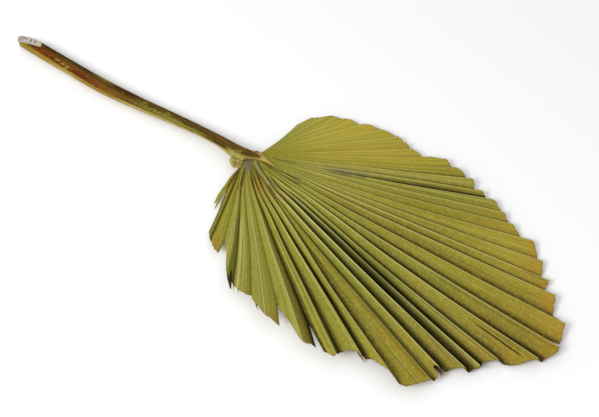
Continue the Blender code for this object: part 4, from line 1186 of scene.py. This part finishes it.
# The flap's surface runs from rim to edge. It swells between them, with fine folds and a raised
# lip beside the near rim.
lengthways, crossways = np.meshgrid(along, over, indexing="ij")
collar = near_line[:, None] * (1 - crossways[..., None]) + far_line[:, None] * crossways[..., None]
swell = np.sin(np.pi * crossways) ** 0.7
swell = swell * np.interp(lengthways, (0, 0.25, 0.6, 1.0), (0.9, 0.8, 0.5, 0.15))
folds_on = (0.16 * drift(crossways * 11.0 + 2.0 * lengthways, lengthways * 5.0, 41)
            + 0.10 * drift(crossways * 23.0 + 4.0 * lengthways, lengthways * 9.0, 42))
lip_up = 0.28 * np.exp(-((crossways - 0.05) / 0.05) ** 2)
off_edges = np.clip(np.minimum(crossways, 1 - crossways) / 0.06, 0, 1)
collar[..., 2] += (swell + folds_on + lip_up) * off_edges
collar[..., 2] = np.minimum(collar[..., 2], COLLAR_HEIGHT)
below = collar.copy()
below[..., 2] = collar[..., 2] - COLLAR_THICK - HOLLOW_BELOW * np.sin(np.pi * crossways)
below[:, 0] += np.array([0.25, 0.9, 0.0])
grid_ids = np.arange(along_count * across_count).reshape(along_count, across_count)
collar_quads = corners(grid_ids[None]).reshape(-1, 4)
ring = np.concatenate((grid_ids[0, :-1], grid_ids[:-1, -1],
                       grid_ids[-1, :0:-1], grid_ids[:0:-1, 0]))
beyond = np.roll(ring, -1)
size = grid_ids.size
walls = np.stack((ring, beyond, beyond + size, ring + size), -1)
collar_points = np.concatenate((collar.reshape(-1, 3), below.reshape(-1, 3)))
collar_faces = np.concatenate((collar_quads, collar_quads[:, ::-1] + size, walls))
straw, tree, shader = new_material("hastula_straw", 0.62, 0.2)
tint = stored_tint(tree)
place = own_place(tree)
grainy = noise(tree, place, 900.0, 4.0, 0.65)
colour = laid_over(tree, tint, rgb(122, 98, 44), grainy, 0.3, 0.75, 0.4)
put(tree, shader.inputs["Base Color"], colour)
put(tree, shader.inputs["Normal"], bump(tree, grainy, 0.4, 0.0005))
flap = new_object("hastula_collar", collar_points, collar_faces, straw)
straw_tint = np.tile(np.array(rgb(198, 177, 90)[:3]), (along_count, across_count, 1))
run_lines = (drift(crossways * 16.0 + 3.0 * lengthways, lengthways * 4.0, 43)
             + 0.7 * drift(crossways * 34.0 + 5.0 * lengthways, lengthways * 8.0, 44))
straw_tint = lerp(straw_tint, rgb(118, 88, 30), np.clip(0.8 * run_lines, 0, 0.85))
straw_tint = lerp(straw_tint, rgb(206, 188, 122), np.clip(-0.5 * run_lines, 0, 0.7))
rust_rim = np.exp(-(crossways / 0.07) ** 2) * np.interp(
    lengthways, (0.0, 0.15, 0.2, 0.45, 0.55, 1.0), (0.1, 0.3, 0.7, 0.5, 0.15, 0.05))
straw_tint = lerp(straw_tint, rgb(136, 90, 38), np.clip(rust_rim, 0, 1))
far_green = np.clip((crossways - 0.45) / 0.4, 0, 1) * np.clip((lengthways - 0.45) / 0.2, 0, 1)
straw_tint = lerp(straw_tint, rgb(150, 142, 58), 0.85 * far_green)
bud = np.exp(-((collar[..., 0] + 6.2) / 1.5) ** 2 - ((collar[..., 1] - 10.8) / 1.3) ** 2)
straw_tint = lerp(straw_tint, rgb(70, 42, 24), np.clip(1.3 * bud, 0, 0.95))
flat = np.clip(straw_tint.reshape(-1, 3), 0, 1)
write_colour(flap, np.concatenate((flat, flat * 0.8)))
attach(flap, "root")
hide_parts("hastula")


# Knob: four swollen corky lumps on the near side, where the collar's end has dried and curled up.
# They are the collar's own tissue, hard and rough, and sit close against it and the stem.

def lump(name, centre, size, seed, pale, dark, material):
    """Closed lump: a sphere's points pushed out by drift and stretched, poles closed by fans."""
    rings = 26
    round_count = 40
    down = np.pi * (np.arange(rings) + 0.5) / rings
    turn = 2 * np.pi * np.arange(round_count) / round_count
    down, turn = np.meshgrid(down, turn, indexing="ij")
    east = np.sin(down) * np.cos(turn)
    north = np.sin(down) * np.sin(turn)
    height = -np.cos(down)
    ball = np.stack((east, north, height), -1)
    rough = (0.16 * drift(east * 1.7 + 9.0, north * 1.7 + height * 1.3 + 9.0, seed)
             + 0.07 * drift(east * 4.2 + 30.0, north * 4.2 + height * 3.1 + 30.0, seed + 1))
    points = (np.array(centre) + ball * (1.0 + rough[..., None]) * np.array(size)).reshape(-1, 3)
    ends = np.array((points[:round_count].mean(0), points[-round_count:].mean(0)))
    thing = new_object(name, np.concatenate((points, ends)),
                       tube((rings, round_count), len(points), len(points) + 1), material)
    # Pale on the swellings and darker in the dips: the dark is painted shade.
    shade = lerp(np.tile(np.array(rgb(*pale)[:3]), (rings, round_count, 1)), rgb(*dark),
                 np.clip(0.5 - 2.6 * rough, 0, 0.9))
    shade = shade.reshape(-1, 3)
    write_colour(thing, np.concatenate((shade, shade[:1], shade[-1:])))
    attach(thing, "root")
    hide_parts("hastula")


# Each lump: its name, middle, half sizes, seed, pale colour, dark colour of its painted shade and
# material.
lump("hastula_knob_outer", (-18.0, -7.0, 7.6), (3.3, 3.0, 3.0), 51, (188, 178, 102), (116, 108, 44), straw)
lump("hastula_knob_inner", (-12.9, -4.9, 8.6), (3.3, 2.9, 2.4), 54, (190, 174, 100), (120, 102, 42), straw)
lump("hastula_knob_lower", (-15.0, -9.8, 7.4), (2.6, 2.2, 2.4), 57, (184, 168, 92), (114, 96, 40), straw)
lump("hastula_knob_foot", (-10.6, -8.4, 8.0), (3.0, 2.6, 2.2), 60, (180, 162, 88), (114, 94, 38), straw)
